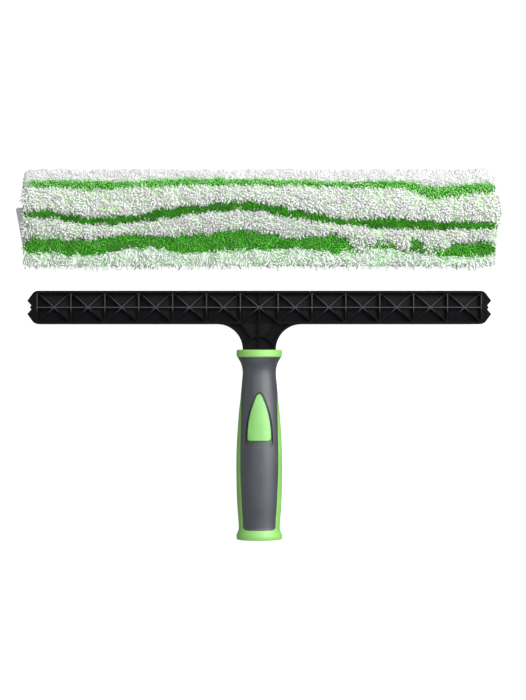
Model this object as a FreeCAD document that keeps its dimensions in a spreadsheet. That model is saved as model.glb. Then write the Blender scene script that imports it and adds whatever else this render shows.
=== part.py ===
import FreeCAD, Part
import math
import os
import Sketcher

# Window strip washer: a ribbed T-bar with a two-colour handle and, lying above it, the pile
# sleeve that is pulled over the bar. Everything lies flat on z = 0: x runs along the bar,
# y runs from the butt of the handle to the sleeve, z is the thickness. Lengths are millimetres.

# The driving sizes, one sheet cell each.
SIZES = (
    # The T-bar moulding
    ("bar_length", 350.0),
    ("bar_height", 25.2),
    ("bar_thickness", 12.0),
    ("web_thickness", 2.4),
    ("rim_width", 1.9),
    ("rib_width", 1.1),
    ("rib_drop", 0.7),
    ("cells_per_side", 6),
    ("star_cell_width", 28.5),
    ("end_block_length", 7.4),
    ("corner_run", 8.3),
    ("notch_height", 10.0),
    ("notch_depth", 3.0),
    ("tooth_depth", 2.0),
    ("valley_spacing", 3.2),
    ("end_recess_radius", 3.8),
    ("end_recess_spacing", 12.6),
    ("neck_width", 25.0),
    ("neck_length", 19.3),
    ("dome_radius", 12.5),
    ("dome_height", 10.8),
    ("tang_width", 17.0),
    ("tang_thickness", 10.0),
    ("tang_length", 34.0),
    ("tang_clearance", 0.1),
    # The pin through the tang
    ("tang_pin_radius", 2.0),
    ("tang_pin_depth", 20.0),
    ("pin_clearance", 0.02),
    ("pin_cover", 0.5),
    # The handle
    ("handle_length", 143.4),
    ("handle_width", 34.8),
    ("grip_thickness", 2.0),
    ("collar_width", 34.4),
    ("collar_depth", 31.6),
    ("collar_height", 5.7),
    ("collar_edge_radius", 1.2),
    ("panel_corner_radius", 3.0),
    ("thumb_recess_gap", 1.5),
    ("thumb_recess_drop", 3.4),
    ("thumb_recess_depth", 0.9),
    # The pole socket
    ("socket_radius", 10.0),
    ("socket_depth", 84.0),
    ("socket_chamfer", 1.0),
    # The release button and what it works
    ("button_width", 17.6),
    ("button_length", 35.0),
    ("button_start", 33.2),
    ("button_corner_radius", 1.9),
    ("button_proud", 0.6),
    ("button_inset", 1.0),
    ("button_gap", 0.5),
    ("button_swing_gap", 0.5),
    ("window_floor_inset", 3.6),
    ("pivot_depth", 40.0),
    ("pivot_height", 6.5),
    ("pivot_pin_radius", 1.25),
    ("pivot_pin_length", 17.0),
    ("pivot_clearance", 0.05),
    ("boss_radius", 2.6),
    ("spine_width", 4.4),
    ("spine_underside", 8.4),
    ("spine_end", 56.0),
    ("chamber_floor", 3.6),
    ("chamber_gap", 0.6),
    ("plunger_radius", 1.75),
    ("plunger_depth", 64.0),
    ("plunger_length", 4.2),
    ("plunger_seat", 0.7),
    ("plunger_gap", 0.5),
    ("spring_depth", 51.0),
    ("spring_radius", 2.05),
    ("spring_wire_radius", 0.25),
    ("spring_cup_depth", 1.3),
    ("spring_turns", 5),
    # The sleeve
    ("sleeve_gap", 19.0),
    ("pile_overhang", 2.6),
    ("sleeve_height", 74.6),
    ("pocket_clearance", 1.5),
    ("pocket_gap", 15.0),
    ("cloth_thickness", 1.4),
    ("white_pile_depth", 6.9),
    ("green_pile_depth", 4.4),
    ("hem_height", 9.0),
    ("hem_thickness", 0.7),
    ("tape_start", 34.0),
    ("tape_end_margin", 6.0),
    ("tape_height", 16.0),
    ("tape_thickness", 1.0),
    ("tape_hem_gap", 1.0),
    ("tab_reach", 6.7),
    ("tab_low_reach", 0.8),
    ("tab_height", 31.8),
    ("tab_drop", 30.6),
    # One overrun for every cut
    ("overrun", 2.0),
)

# Handle outline: distance below the collar top as a share of the handle length, half width as
# a share of half the handle width, depth as a share of the width there.
HANDLE_PROFILE_SHARES = (
    (0.0397, 0.948, 0.920),
    (0.0558, 0.868, 0.920),
    (0.0767, 0.787, 0.915),
    (0.1011, 0.739, 0.910),
    (0.1290, 0.727, 0.910),
    (0.1743, 0.759, 0.900),
    (0.2301, 0.799, 0.890),
    (0.3138, 0.874, 0.885),
    (0.4184, 0.943, 0.885),
    (0.5300, 0.991, 0.880),
    (0.6555, 1.000, 0.880),
    (0.7671, 0.980, 0.880),
    (0.8508, 0.943, 0.885),
    (0.9135, 0.905, 0.890),
    (0.9414, 0.894, 0.900),
    (0.9658, 0.960, 0.908),
    (0.9833, 0.997, 0.908),
    (1.0000, 0.974, 0.908),
)

# Edge of the soft grip panel between the two side rails, in the same shares.
PANEL_EDGE_SHARES = (
    (0.1534, 0.856),
    (0.2022, 0.807),
    (0.2371, 0.790),
    (0.3068, 0.787),
    (0.3835, 0.796),
    (0.4881, 0.816),
    (0.5579, 0.822),
    (0.6555, 0.816),
    (0.7531, 0.782),
    (0.8438, 0.741),
    (0.9135, 0.707),
)
PANEL_SHOULDER_SHARE = 0.105
PANEL_END_SHARE = 0.9484

# Half outline of the button: distance from its tip as a share of its length, half width as a
# share of half its width. The base corners follow from their radius.
BUTTON_EDGE_SHARES = (
    (0.034, 0.170),
    (0.120, 0.345),
    (0.297, 0.600),
    (0.569, 0.871),
    (0.800, 0.975),
)

# Green stripes of the sleeve: place along the sleeve as a share of its length from the middle,
# upper and lower edge as shares of its height from the top.
UPPER_STRIPE_SHARES = (
    (-0.510, 0.180, 0.225),
    (-0.428, 0.127, 0.198),
    (-0.344, 0.137, 0.228),
    (-0.269, 0.137, 0.208),
    (-0.178, 0.107, 0.183),
    (-0.045, 0.107, 0.183),
    (0.108, 0.132, 0.188),
    (0.226, 0.147, 0.208),
    (0.308, 0.147, 0.223),
    (0.358, 0.218, 0.310),
    (0.425, 0.188, 0.279),
    (0.510, 0.188, 0.289),
)
MIDDLE_STRIPE_SHARES = (
    (-0.510, 0.450, 0.510),
    (-0.449, 0.442, 0.503),
    (-0.344, 0.513, 0.574),
    (-0.269, 0.492, 0.574),
    (-0.197, 0.421, 0.513),
    (-0.124, 0.381, 0.462),
    (-0.045, 0.350, 0.421),
    (0.064, 0.411, 0.513),
    (0.190, 0.523, 0.584),
    (0.253, 0.513, 0.614),
    (0.358, 0.543, 0.624),
    (0.510, 0.543, 0.624),
)
LOWER_STRIPE_SHARES = (
    (-0.510, 0.736, 0.858),
    (-0.428, 0.731, 0.868),
    (-0.344, 0.736, 0.878),
    (-0.269, 0.695, 0.807),
    (-0.178, 0.716, 0.848),
    (-0.045, 0.655, 0.838),
    (0.064, 0.716, 0.827),
    (0.169, 0.706, 0.848),
    (0.253, 0.757, 0.817),
    (0.327, 0.736, 0.858),
    (0.425, 0.767, 0.898),
    (0.510, 0.767, 0.898),
)

# Height of the foot of each slanting neck rib on the dome, as a share of the dome's radius.
DOME_FOOT_SHARE = 0.866

# Turns that carry the axis of a primitive, which stands along z, onto x or onto y.
TURN_TO_X = FreeCAD.Rotation(FreeCAD.Vector(0, 1, 0), 90)
TURN_TO_Y = FreeCAD.Rotation(FreeCAD.Vector(1, 0, 0), -90)
NO_TURN = FreeCAD.Rotation()


class Size:
    """A size that knows both its value and its formula in the sheet."""

    def __init__(self, value, formula):
        self.value = value
        self.formula = formula

    def __add__(self, other):
        return joined(self, "+", other, self.value + value_of(other))

    def __sub__(self, other):
        return joined(self, "-", other, self.value - value_of(other))

    def __mul__(self, other):
        return joined(self, "*", other, self.value * value_of(other))

    def __truediv__(self, other):
        return joined(self, "/", other, self.value / value_of(other))

    def __neg__(self):
        return Size(-self.value, "(0 - " + self.formula + ")")


def value_of(item):
    return item.value if isinstance(item, Size) else item


def formula_of(item):
    return item.formula if isinstance(item, Size) else repr(item)


def joined(left, sign, right, value):
    return Size(value, "(" + formula_of(left) + " " + sign + " " + formula_of(right) + ")")


def diagonal(width, height):
    """The length of the diagonal of a rectangle."""
    value = math.hypot(width.value, height.value)
    return Size(value, "sqrt(" + width.formula + "^2 + " + height.formula + "^2)")


def larger(first, second):
    """The larger of two sizes."""
    return Size(max(first.value, second.value), "max(" + first.formula + "; " + second.formula + ")")


class Sizes:
    """The driving sizes by name."""


doc = FreeCAD.newDocument("window_strip_washer")
sheet = doc.addObject("Spreadsheet::Sheet", "sizes")
size = Sizes()
for row, (alias, number) in enumerate(SIZES, start=1):
    sheet.set("A" + str(row), alias)
    sheet.set("B" + str(row), str(number))
    sheet.setAlias("B" + str(row), alias)
    setattr(size, alias, Size(number, "sizes." + alias))
doc.recompute()

ZERO = Size(0, "0")

# Places that follow from the sizes. The part is centred on y = 0.
full_height = size.handle_length + size.neck_length + size.bar_height + size.sleeve_gap + size.sleeve_height
butt = -(full_height / 2)
collar_top = butt + size.handle_length
bar_bottom = collar_top + size.neck_length
bar_middle = bar_bottom + size.bar_height / 2
bar_top = bar_bottom + size.bar_height
sleeve_bottom = bar_top + size.sleeve_gap
sleeve_top = sleeve_bottom + size.sleeve_height
cloth_inner = size.pocket_gap / 2
cloth_outer = cloth_inner + size.cloth_thickness
white_outer = cloth_outer + size.white_pile_depth
green_outer = cloth_outer + size.green_pile_depth
axis = larger(size.collar_depth / 2, white_outer)
cloth_reach = size.bar_length / 2 + size.pocket_clearance
panel_reach = cloth_reach + size.cloth_thickness
sleeve_reach = panel_reach + size.pile_overhang


def below_collar(depth):
    """The y of a point at this depth below the collar top."""
    return collar_top - depth


def bind(item, **properties):
    """Ties properties of an object to sizes."""
    for name, amount in properties.items():
        item.setExpression(name, formula_of(amount))
    return item


def place(item, x, y, z, turn=NO_TURN):
    """Puts an object at a place that follows the sizes."""
    item.Placement = FreeCAD.Placement(FreeCAD.Vector(x.value, y.value, z.value), turn)
    for letter, amount in (("x", x), ("y", y), ("z", z)):
        item.setExpression("Placement.Base." + letter, amount.formula)
    return item


def box(name, x_span, y_span, z_span):
    """A box between two places along each direction."""
    item = doc.addObject("Part::Box", name)
    bind(item, Length=x_span[1] - x_span[0], Width=y_span[1] - y_span[0], Height=z_span[1] - z_span[0])
    return place(item, x_span[0], y_span[0], z_span[0])


def rod(name, radius, length, x, y, z, turn=NO_TURN):
    """A cylinder that starts at a place and runs along z, or along its turned axis."""
    item = doc.addObject("Part::Cylinder", name)
    bind(item, Radius=radius, Height=length)
    return place(item, x, y, z, turn)


def cut(name, base, *tools):
    """Takes one or more objects away from a base."""
    item = doc.addObject("Part::Cut", name)
    item.Base = base
    item.Tool = tools[0] if len(tools) == 1 else fuse(name + "_voids", *tools)
    return item


def fuse(name, *pieces):
    """Joins objects into one."""
    item = doc.addObject("Part::MultiFuse", name)
    item.Shapes = list(pieces)
    return item


def common(name, first, second):
    """Keeps what two objects share."""
    item = doc.addObject("Part::Common", name)
    item.Base = first
    item.Tool = second
    return item


def extrusion(name, outline, start, length):
    """A prism on a flat outline, from a height upwards."""
    item = doc.addObject("Part::Extrusion", name)
    item.Base = outline
    item.DirMode = "Custom"
    item.Dir = FreeCAD.Vector(0, 0, 1)
    item.Solid = True
    bind(item, LengthFwd=length)
    return place(item, ZERO, ZERO, start)


def shape_object(name, shape):
    """An object for a shape that this script works out from the sizes itself."""
    item = doc.addObject("Part::Feature", name)
    item.Shape = shape
    return item


def vector(x, y, z=ZERO):
    return FreeCAD.Vector(value_of(x), value_of(y), value_of(z))


def origin_feature(body, role):
    return next(item for item in body.Origin.OriginFeatures if item.Role == role)


def flat_sketch(body, name, height=ZERO):
    """A sketch on the body's own xy plane, lifted by a height."""
    sketch = body.newObject("Sketcher::SketchObject", name)
    sketch.AttachmentSupport = [(origin_feature(body, "XY_Plane"), "")]
    sketch.MapMode = "FlatFace"
    sketch.AttachmentOffset = FreeCAD.Placement(vector(ZERO, ZERO, height), NO_TURN)
    sketch.setExpression("AttachmentOffset.Base.z", height.formula)
    return sketch


def fix_point(sketch, edge, end, point):
    """Holds one end of an edge at a point that follows the sizes."""
    for kind, amount in (("DistanceX", point[0]), ("DistanceY", point[1])):
        index = sketch.addConstraint(Sketcher.Constraint(kind, -1, 1, edge, end, amount.value))
        sketch.setExpression("Constraints[" + str(index) + "]", amount.formula)


def polygon(sketch, points, arcs=()):
    """A closed outline through points. An entry of arcs, keyed by the number of the point that
    it starts from, is (centre x, centre y, radius) and rounds that side instead of a line."""
    arcs = dict(arcs)
    first = sketch.GeometryCount
    count = len(points)
    ends = []
    for number, point in enumerate(points):
        start = vector(*point)
        finish = vector(*points[(number + 1) % count])
        if number not in arcs:
            sketch.addGeometry(Part.LineSegment(start, finish), False)
            ends.append((1, 2))
            continue
        centre_x, centre_y, radius = arcs[number]
        centre = vector(centre_x, centre_y)
        circle = Part.Circle(centre, FreeCAD.Vector(0, 0, 1), radius.value)
        begin = math.atan2(start.y - centre.y, start.x - centre.x)
        stop = math.atan2(finish.y - centre.y, finish.x - centre.x)
        forward = (stop - begin) % (2 * math.pi) < math.pi
        sketch.addGeometry(Part.ArcOfCircle(circle, *((begin, stop) if forward else (stop, begin))), False)
        ends.append((1, 2) if forward else (2, 1))
    for number, point in enumerate(points):
        edge = first + number
        follower = first + (number + 1) % count
        follower_end = ends[(number + 1) % count][0]
        start_end, finish_end = ends[number]
        sketch.addConstraint(
            Sketcher.Constraint("Coincident", edge, finish_end, follower, follower_end))
        fix_point(sketch, edge, start_end, point)
        if number in arcs:
            radius = arcs[number][2]
            index = sketch.addConstraint(Sketcher.Constraint("Radius", edge, radius.value))
            sketch.setExpression("Constraints[" + str(index) + "]", radius.formula)


# The T-bar: one moulding with a rim, a thin web and ribs on both faces.
half_length = size.bar_length / 2
half_height = size.bar_height / 2
half_notch = size.notch_height / 2
half_rib = size.rib_width / 2
rib_limit = half_height - size.rim_width
cell_pitch = (half_length - size.end_block_length - size.star_cell_width / 2) / size.cells_per_side


def mirrored_points(points):
    """The same points on the other side of x = 0, in reverse order."""
    return [(-x, y) for x, y in reversed(points)]


def bar_outline(sketch):
    """Bar, notched ends and flared neck, down to the collar top."""
    corner_x = half_length - size.corner_run
    bend_x = half_length - size.corner_run / 2
    corner_drop = half_height - half_notch
    bend_drop = corner_drop / 4
    run = size.corner_run / 2
    corner_radius = (run * run + bend_drop * bend_drop) / (bend_drop * 2)
    neck_end = -half_height - size.neck_length
    half_neck = size.neck_width / 2
    valley_x = half_length - size.notch_depth
    right = [
        (half_neck, neck_end),
        (half_neck + size.neck_length, -half_height),
        (corner_x, -half_height),
        (bend_x, -half_height + bend_drop),
        (half_length, -half_notch),
        (valley_x, -(size.valley_spacing / 2)),
        (half_length - size.tooth_depth, ZERO),
        (valley_x, size.valley_spacing / 2),
        (half_length, half_notch),
        (bend_x, half_height - bend_drop),
        (corner_x, half_height),
    ]
    points = right + mirrored_points(right)
    low = -half_height + corner_radius
    high = half_height - corner_radius
    flare_x = half_neck + size.neck_length
    arcs = {
        0: (flare_x, neck_end, size.neck_length),
        2: (corner_x, low, corner_radius),
        9: (corner_x, high, corner_radius),
        11: (-corner_x, high, corner_radius),
        18: (-corner_x, low, corner_radius),
        20: (-flare_x, neck_end, size.neck_length),
    }
    polygon(sketch, points, arcs)


def cell_triangles(middle, half_cell, upright_rib):
    """The hollows of one rectangular cell with ribs from corner to corner and across."""
    slant = diagonal(half_cell, rib_limit)
    rise = half_rib * slant / half_cell
    reach = half_rib * slant / rib_limit
    slope = half_cell / rib_limit
    top_x = (rib_limit - rise) * slope
    side_y = (half_cell - reach) / slope
    shapes = []
    for up in (1, -1):
        if upright_rib:
            for side in (1, -1):
                shapes.append([(half_rib * side, (rise + half_rib / slope) * up),
                               (top_x * side, rib_limit * up),
                               (half_rib * side, rib_limit * up)])
        else:
            shapes.append([(ZERO, rise * up), (top_x, rib_limit * up), (-top_x, rib_limit * up)])
        for side in (1, -1):
            shapes.append([((reach + half_rib * slope) * side, half_rib * up),
                           (half_cell * side, half_rib * up),
                           (half_cell * side, side_y * up)])
    return [[(middle + x, y) for x, y in shape] for shape in shapes]


def hollow(body, name, outlines, floor, depth):
    """Cuts outlines into the front face, from a floor height upwards."""
    sketch = flat_sketch(body, name + "_outline", floor)
    for outline in outlines:
        polygon(sketch, outline)
    item = body.newObject("PartDesign::Pocket", name)
    item.Profile = sketch
    item.Reversed = True
    bind(item, Length=depth)
    return item


def pad_body(name, draw, thickness):
    """A body that starts as one outline padded evenly to both sides."""
    body = doc.addObject("PartDesign::Body", name)
    sketch = flat_sketch(body, name + "_outline")
    draw(sketch)
    item = body.newObject("PartDesign::Pad", name + "_pad")
    item.Profile = sketch
    item.Midplane = True
    bind(item, Length=thickness)
    doc.recompute()
    return body


def mirror(body, name, plane):
    item = body.newObject("PartDesign::Mirrored", name)
    item.MirrorPlane = (origin_feature(body, plane), [""])
    return item


def make_bar_body():
    """The moulding without its neck hollows and its pin hole."""
    body = pad_body("bar_moulding", bar_outline, size.bar_thickness)
    web_top = size.web_thickness / 2
    face = size.bar_thickness / 2
    depth = face - web_top + size.overrun
    half_cell = cell_pitch / 2 - half_rib
    first_cell = size.star_cell_width / 2 + cell_pitch / 2
    solid_before = body.Shape.Volume

    cells = hollow(body, "cell_hollows", cell_triangles(first_cell, half_cell, False), web_top, depth)
    doc.recompute()
    pattern = body.newObject("PartDesign::MultiTransform", "all_cells")
    pattern.Originals = [cells]
    row_of_cells = body.newObject("PartDesign::LinearPattern", "row_of_cells")
    row_of_cells.Direction = (origin_feature(body, "X_Axis"), [""])
    bind(row_of_cells, Length=cell_pitch * (size.cells_per_side - 1), Occurrences=size.cells_per_side)
    pattern.Transformations = [
        row_of_cells,
        mirror(body, "left_cells", "YZ_Plane"),
        mirror(body, "back_cells", "XY_Plane"),
    ]
    body.Tip = pattern
    doc.recompute()

    half_star = size.star_cell_width / 2 - half_rib
    star = hollow(body, "star_hollows", cell_triangles(ZERO, half_star, True), web_top, depth)
    doc.recompute()
    star_back = mirror(body, "back_star", "XY_Plane")
    star_back.Originals = [star]
    body.Tip = star_back
    doc.recompute()

    # The ribs stand a little lower than the rim.
    rib_top = face - size.rib_drop
    end_rib = half_length - size.end_block_length + half_rib
    field = [(-end_rib, -rib_limit), (end_rib, -rib_limit), (end_rib, rib_limit), (-end_rib, rib_limit)]
    drop = hollow(body, "rib_field", [field], rib_top, size.rib_drop + size.overrun)
    doc.recompute()
    drop_back = mirror(body, "back_rib_field", "XY_Plane")
    drop_back.Originals = [drop]
    body.Tip = drop_back

    tang_sketch = flat_sketch(body, "tang_outline")
    half_tang = size.tang_width / 2
    tang_root = -half_height - size.neck_length / 2
    tang_end = -half_height - size.neck_length - size.tang_length
    polygon(tang_sketch, [(-half_tang, tang_end), (half_tang, tang_end),
                          (half_tang, tang_root), (-half_tang, tang_root)])
    tang = body.newObject("PartDesign::Pad", "tang")
    tang.Profile = tang_sketch
    tang.Midplane = True
    bind(tang, Length=size.tang_thickness)
    body.Tip = tang
    doc.recompute()
    print("bar moulding, pad and finished volume:", solid_before, body.Shape.Volume)
    return place(body, ZERO, bar_middle, axis)


def make_neck_voids():
    """What is hollow in the neck: the spandrels between the ribs, and the space under the dome."""
    half_neck = size.neck_width / 2
    flare_radius = size.neck_length + size.rim_width
    flare_x = half_neck + size.neck_length
    low = axis - size.bar_thickness / 2 - size.overrun
    tall = size.bar_thickness + size.overrun * 2
    high = low + tall
    dome_centre = collar_top + size.dome_height - size.dome_radius
    ceiling = bar_bottom
    blank = box("neck_blank", (-flare_x, flare_x), (collar_top + size.rim_width, ceiling), (low, high))
    flares = [rod("flare_" + name, flare_radius, tall, x, collar_top, low)
              for name, x in (("left", -flare_x), ("right", flare_x))]
    half_star = size.star_cell_width / 2 - half_rib
    star_opening = box("star_opening", (-half_star, half_star), (bar_bottom, bar_bottom + size.rim_width),
                       (low, high))
    inside = fuse("neck_inside", cut("neck_flared", blank, *flares), star_opening)
    web = box("neck_web", (-flare_x, flare_x), (collar_top, bar_top),
              (axis - size.web_thickness / 2, axis + size.web_thickness / 2))
    centre_rib = box("neck_rib", (-half_rib, half_rib), (collar_top, bar_top), (low, high))
    dome = cut("dome_rib",
               rod("dome_outside", size.dome_radius, tall, ZERO, dome_centre, low),
               rod("dome_inside", size.dome_radius - size.rib_width, tall, ZERO, dome_centre, low))
    foot_x = size.dome_radius / 2
    head_x = size.star_cell_width / 2 - size.rib_width
    foot_y = dome_centre + size.dome_radius * DOME_FOOT_SHARE
    head_y = bar_bottom
    struts = []
    for side in (1, -1):
        bottom = vector(foot_x * side, foot_y, low)
        top = vector(head_x * side, head_y, low)
        along = (top - bottom).normalize()
        across = FreeCAD.Vector(-along.y, along.x, 0) * half_rib.value
        extra = along * size.rib_width.value
        bottom -= extra
        top += extra
        corners = [bottom - across, top - across, top + across, bottom + across]
        face = Part.Face(Part.makePolygon(corners + corners[:1]))
        struts.append(shape_object("neck_strut", face.extrude(FreeCAD.Vector(0, 0, tall.value))))
    rib_top = size.bar_thickness / 2 - size.rib_drop
    field = box("neck_field", (-flare_x, flare_x), (collar_top, bar_top), (axis - rib_top, axis + rib_top))
    shallow = cut("neck_shallow", inside, field)
    deep = cut("neck_deep", inside, web, centre_rib, dome, *struts)
    return fuse("neck_voids", shallow, deep)


def make_end_recesses():
    """Shallow half-round recesses in both faces of the end blocks."""
    low = axis - size.bar_thickness / 2 - size.overrun
    tall = size.bar_thickness + size.overrun * 2
    block_start = half_length - size.end_block_length
    rounds = []
    for side, x in (("left", -block_start), ("right", block_start)):
        for level, y in (("upper", bar_middle + size.end_recess_spacing / 2),
                         ("lower", bar_middle - size.end_recess_spacing / 2)):
            rounds.append(rod(side + "_" + level + "_round", size.end_recess_radius, tall, x, y, low))
    rib_top = size.bar_thickness / 2 - size.rib_drop
    keep = box("recess_floor", (-half_length, half_length), (bar_bottom, bar_top),
               (axis - rib_top, axis + rib_top))
    return cut("end_recesses", fuse("end_rounds", *rounds), keep)


def make_t_bar():
    hole_radius = size.tang_pin_radius + size.pin_clearance
    pin_hole = rod("tang_pin_hole", hole_radius, size.tang_width + size.overrun * 2,
                   -(size.tang_width / 2) - size.overrun, below_collar(size.tang_pin_depth), axis, TURN_TO_X)
    return cut("t_bar", make_bar_body(), make_neck_voids(), make_end_recesses(), pin_hole)


# The handle: stacked ellipses joined by one smooth skin, at several insets.


def profile_half_width(depth_share):
    """Half width of the handle at a depth, between its profile points."""
    points = HANDLE_PROFILE_SHARES
    for before, after in zip(points, points[1:]):
        if before[0] <= depth_share <= after[0]:
            way = (depth_share - before[0]) / (after[0] - before[0])
            return size.handle_width / 2 * (before[1] + way * (after[1] - before[1]))
    return size.handle_width / 2 * points[-1][1]


def handle_skin(name, outset):
    """The handle's solid form, swollen by an outset or shrunk by a negative one."""
    rings = []
    for number, (depth_share, half_share, ratio) in enumerate(HANDLE_PROFILE_SHARES):
        ring = doc.addObject("Part::Ellipse", name + "_ring_" + str(number))
        half_width = size.handle_width / 2 * half_share
        # The first ring lies against the collar.
        depth = size.handle_length * depth_share if number else size.collar_height
        bind(ring, MajorRadius=half_width + outset, MinorRadius=half_width * ratio + outset)
        place(ring, ZERO, below_collar(depth), axis, TURN_TO_Y)
        rings.append(ring)
    item = doc.addObject("Part::Loft", name)
    item.Sections = rings
    item.Solid = True
    item.Ruled = False
    return item


def panel_face():
    """Front view of the soft grip: all round at the top, a tapering panel below."""
    half = size.handle_width.value / 2
    length = size.handle_length.value
    edge = [vector(half * width, collar_top.value - length * depth) for depth, width in PANEL_EDGE_SHARES]
    corner = size.panel_corner_radius.value
    end_y = collar_top.value - length * PANEL_END_SHARE
    side = Part.BSplineCurve()
    corner_x = edge[-1].x
    edge.append(FreeCAD.Vector(corner_x, end_y + corner, 0))
    side.interpolate(edge)
    outer_x = half + size.overrun.value
    shoulder_y = collar_top.value - length * PANEL_SHOULDER_SHARE
    top_y = collar_top.value
    turn = math.sqrt(0.5)
    mid = FreeCAD.Vector(corner_x - corner + corner * turn, end_y + corner - corner * turn, 0)
    corner_end = FreeCAD.Vector(corner_x - corner, end_y, 0)
    outer_top = FreeCAD.Vector(outer_x, top_y, 0)
    outer_shoulder = FreeCAD.Vector(outer_x, shoulder_y, 0)
    right = [
        Part.LineSegment(FreeCAD.Vector(0, top_y, 0), outer_top).toShape(),
        Part.LineSegment(outer_top, outer_shoulder).toShape(),
        Part.LineSegment(outer_shoulder, edge[0]).toShape(),
        side.toShape(),
        Part.Arc(edge[-1], mid, corner_end).toShape(),
        Part.LineSegment(corner_end, FreeCAD.Vector(0, end_y, 0)).toShape(),
    ]
    left = [line.mirror(FreeCAD.Vector(0, 0, 0), FreeCAD.Vector(1, 0, 0)) for line in right]
    wire = Part.Wire(Part.__sortEdges__(right + left))
    return Part.Face(wire)


def button_face(gap, extra_length):
    """Front view of the button, a pointed arch, or of its window with a gap all round."""
    half = size.button_width.value / 2
    length = size.button_length.value
    corner = size.button_corner_radius.value
    tip_y = below_collar(size.button_start).value
    side = [(half * width, tip_y - length * depth) for depth, width in BUTTON_EDGE_SHARES]
    side.append((half, tip_y - length + corner))
    points = [(-x, y) for x, y in reversed(side)] + [(0, tip_y)] + side
    arch_points = []
    for number, (x, y) in enumerate(points):
        before = points[max(number - 1, 0)]
        after = points[min(number + 1, len(points) - 1)]
        outward = FreeCAD.Vector(before[1] - after[1], after[0] - before[0], 0)
        if number in (0, len(points) - 1):
            outward = FreeCAD.Vector(x, 0, 0)
        arch_points.append(FreeCAD.Vector(x, y, 0) + outward.normalize() * gap)
    base_y = tip_y - length - gap - extra_length
    half += gap
    corner += gap
    low = FreeCAD.Vector(half, base_y + corner, 0)
    lines = []
    if extra_length:
        lines.append(Part.LineSegment(arch_points[-1], low).toShape())
        lines.append(Part.LineSegment(FreeCAD.Vector(-low.x, low.y, 0), arch_points[0]).toShape())
    arch = Part.BSplineCurve()
    arch.interpolate(arch_points)
    lines.append(arch.toShape())
    slip = corner - corner * math.sqrt(0.5)
    for side_sign in (1, -1):
        lines.append(Part.Arc(FreeCAD.Vector(half * side_sign, base_y + corner, 0),
                              FreeCAD.Vector((half - slip) * side_sign, base_y + slip, 0),
                              FreeCAD.Vector((half - corner) * side_sign, base_y, 0)).toShape())
    lines.append(Part.LineSegment(FreeCAD.Vector(half - corner, base_y, 0),
                                  FreeCAD.Vector(corner - half, base_y, 0)).toShape())
    return Part.Face(Part.Wire(Part.__sortEdges__(lines)))


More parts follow.
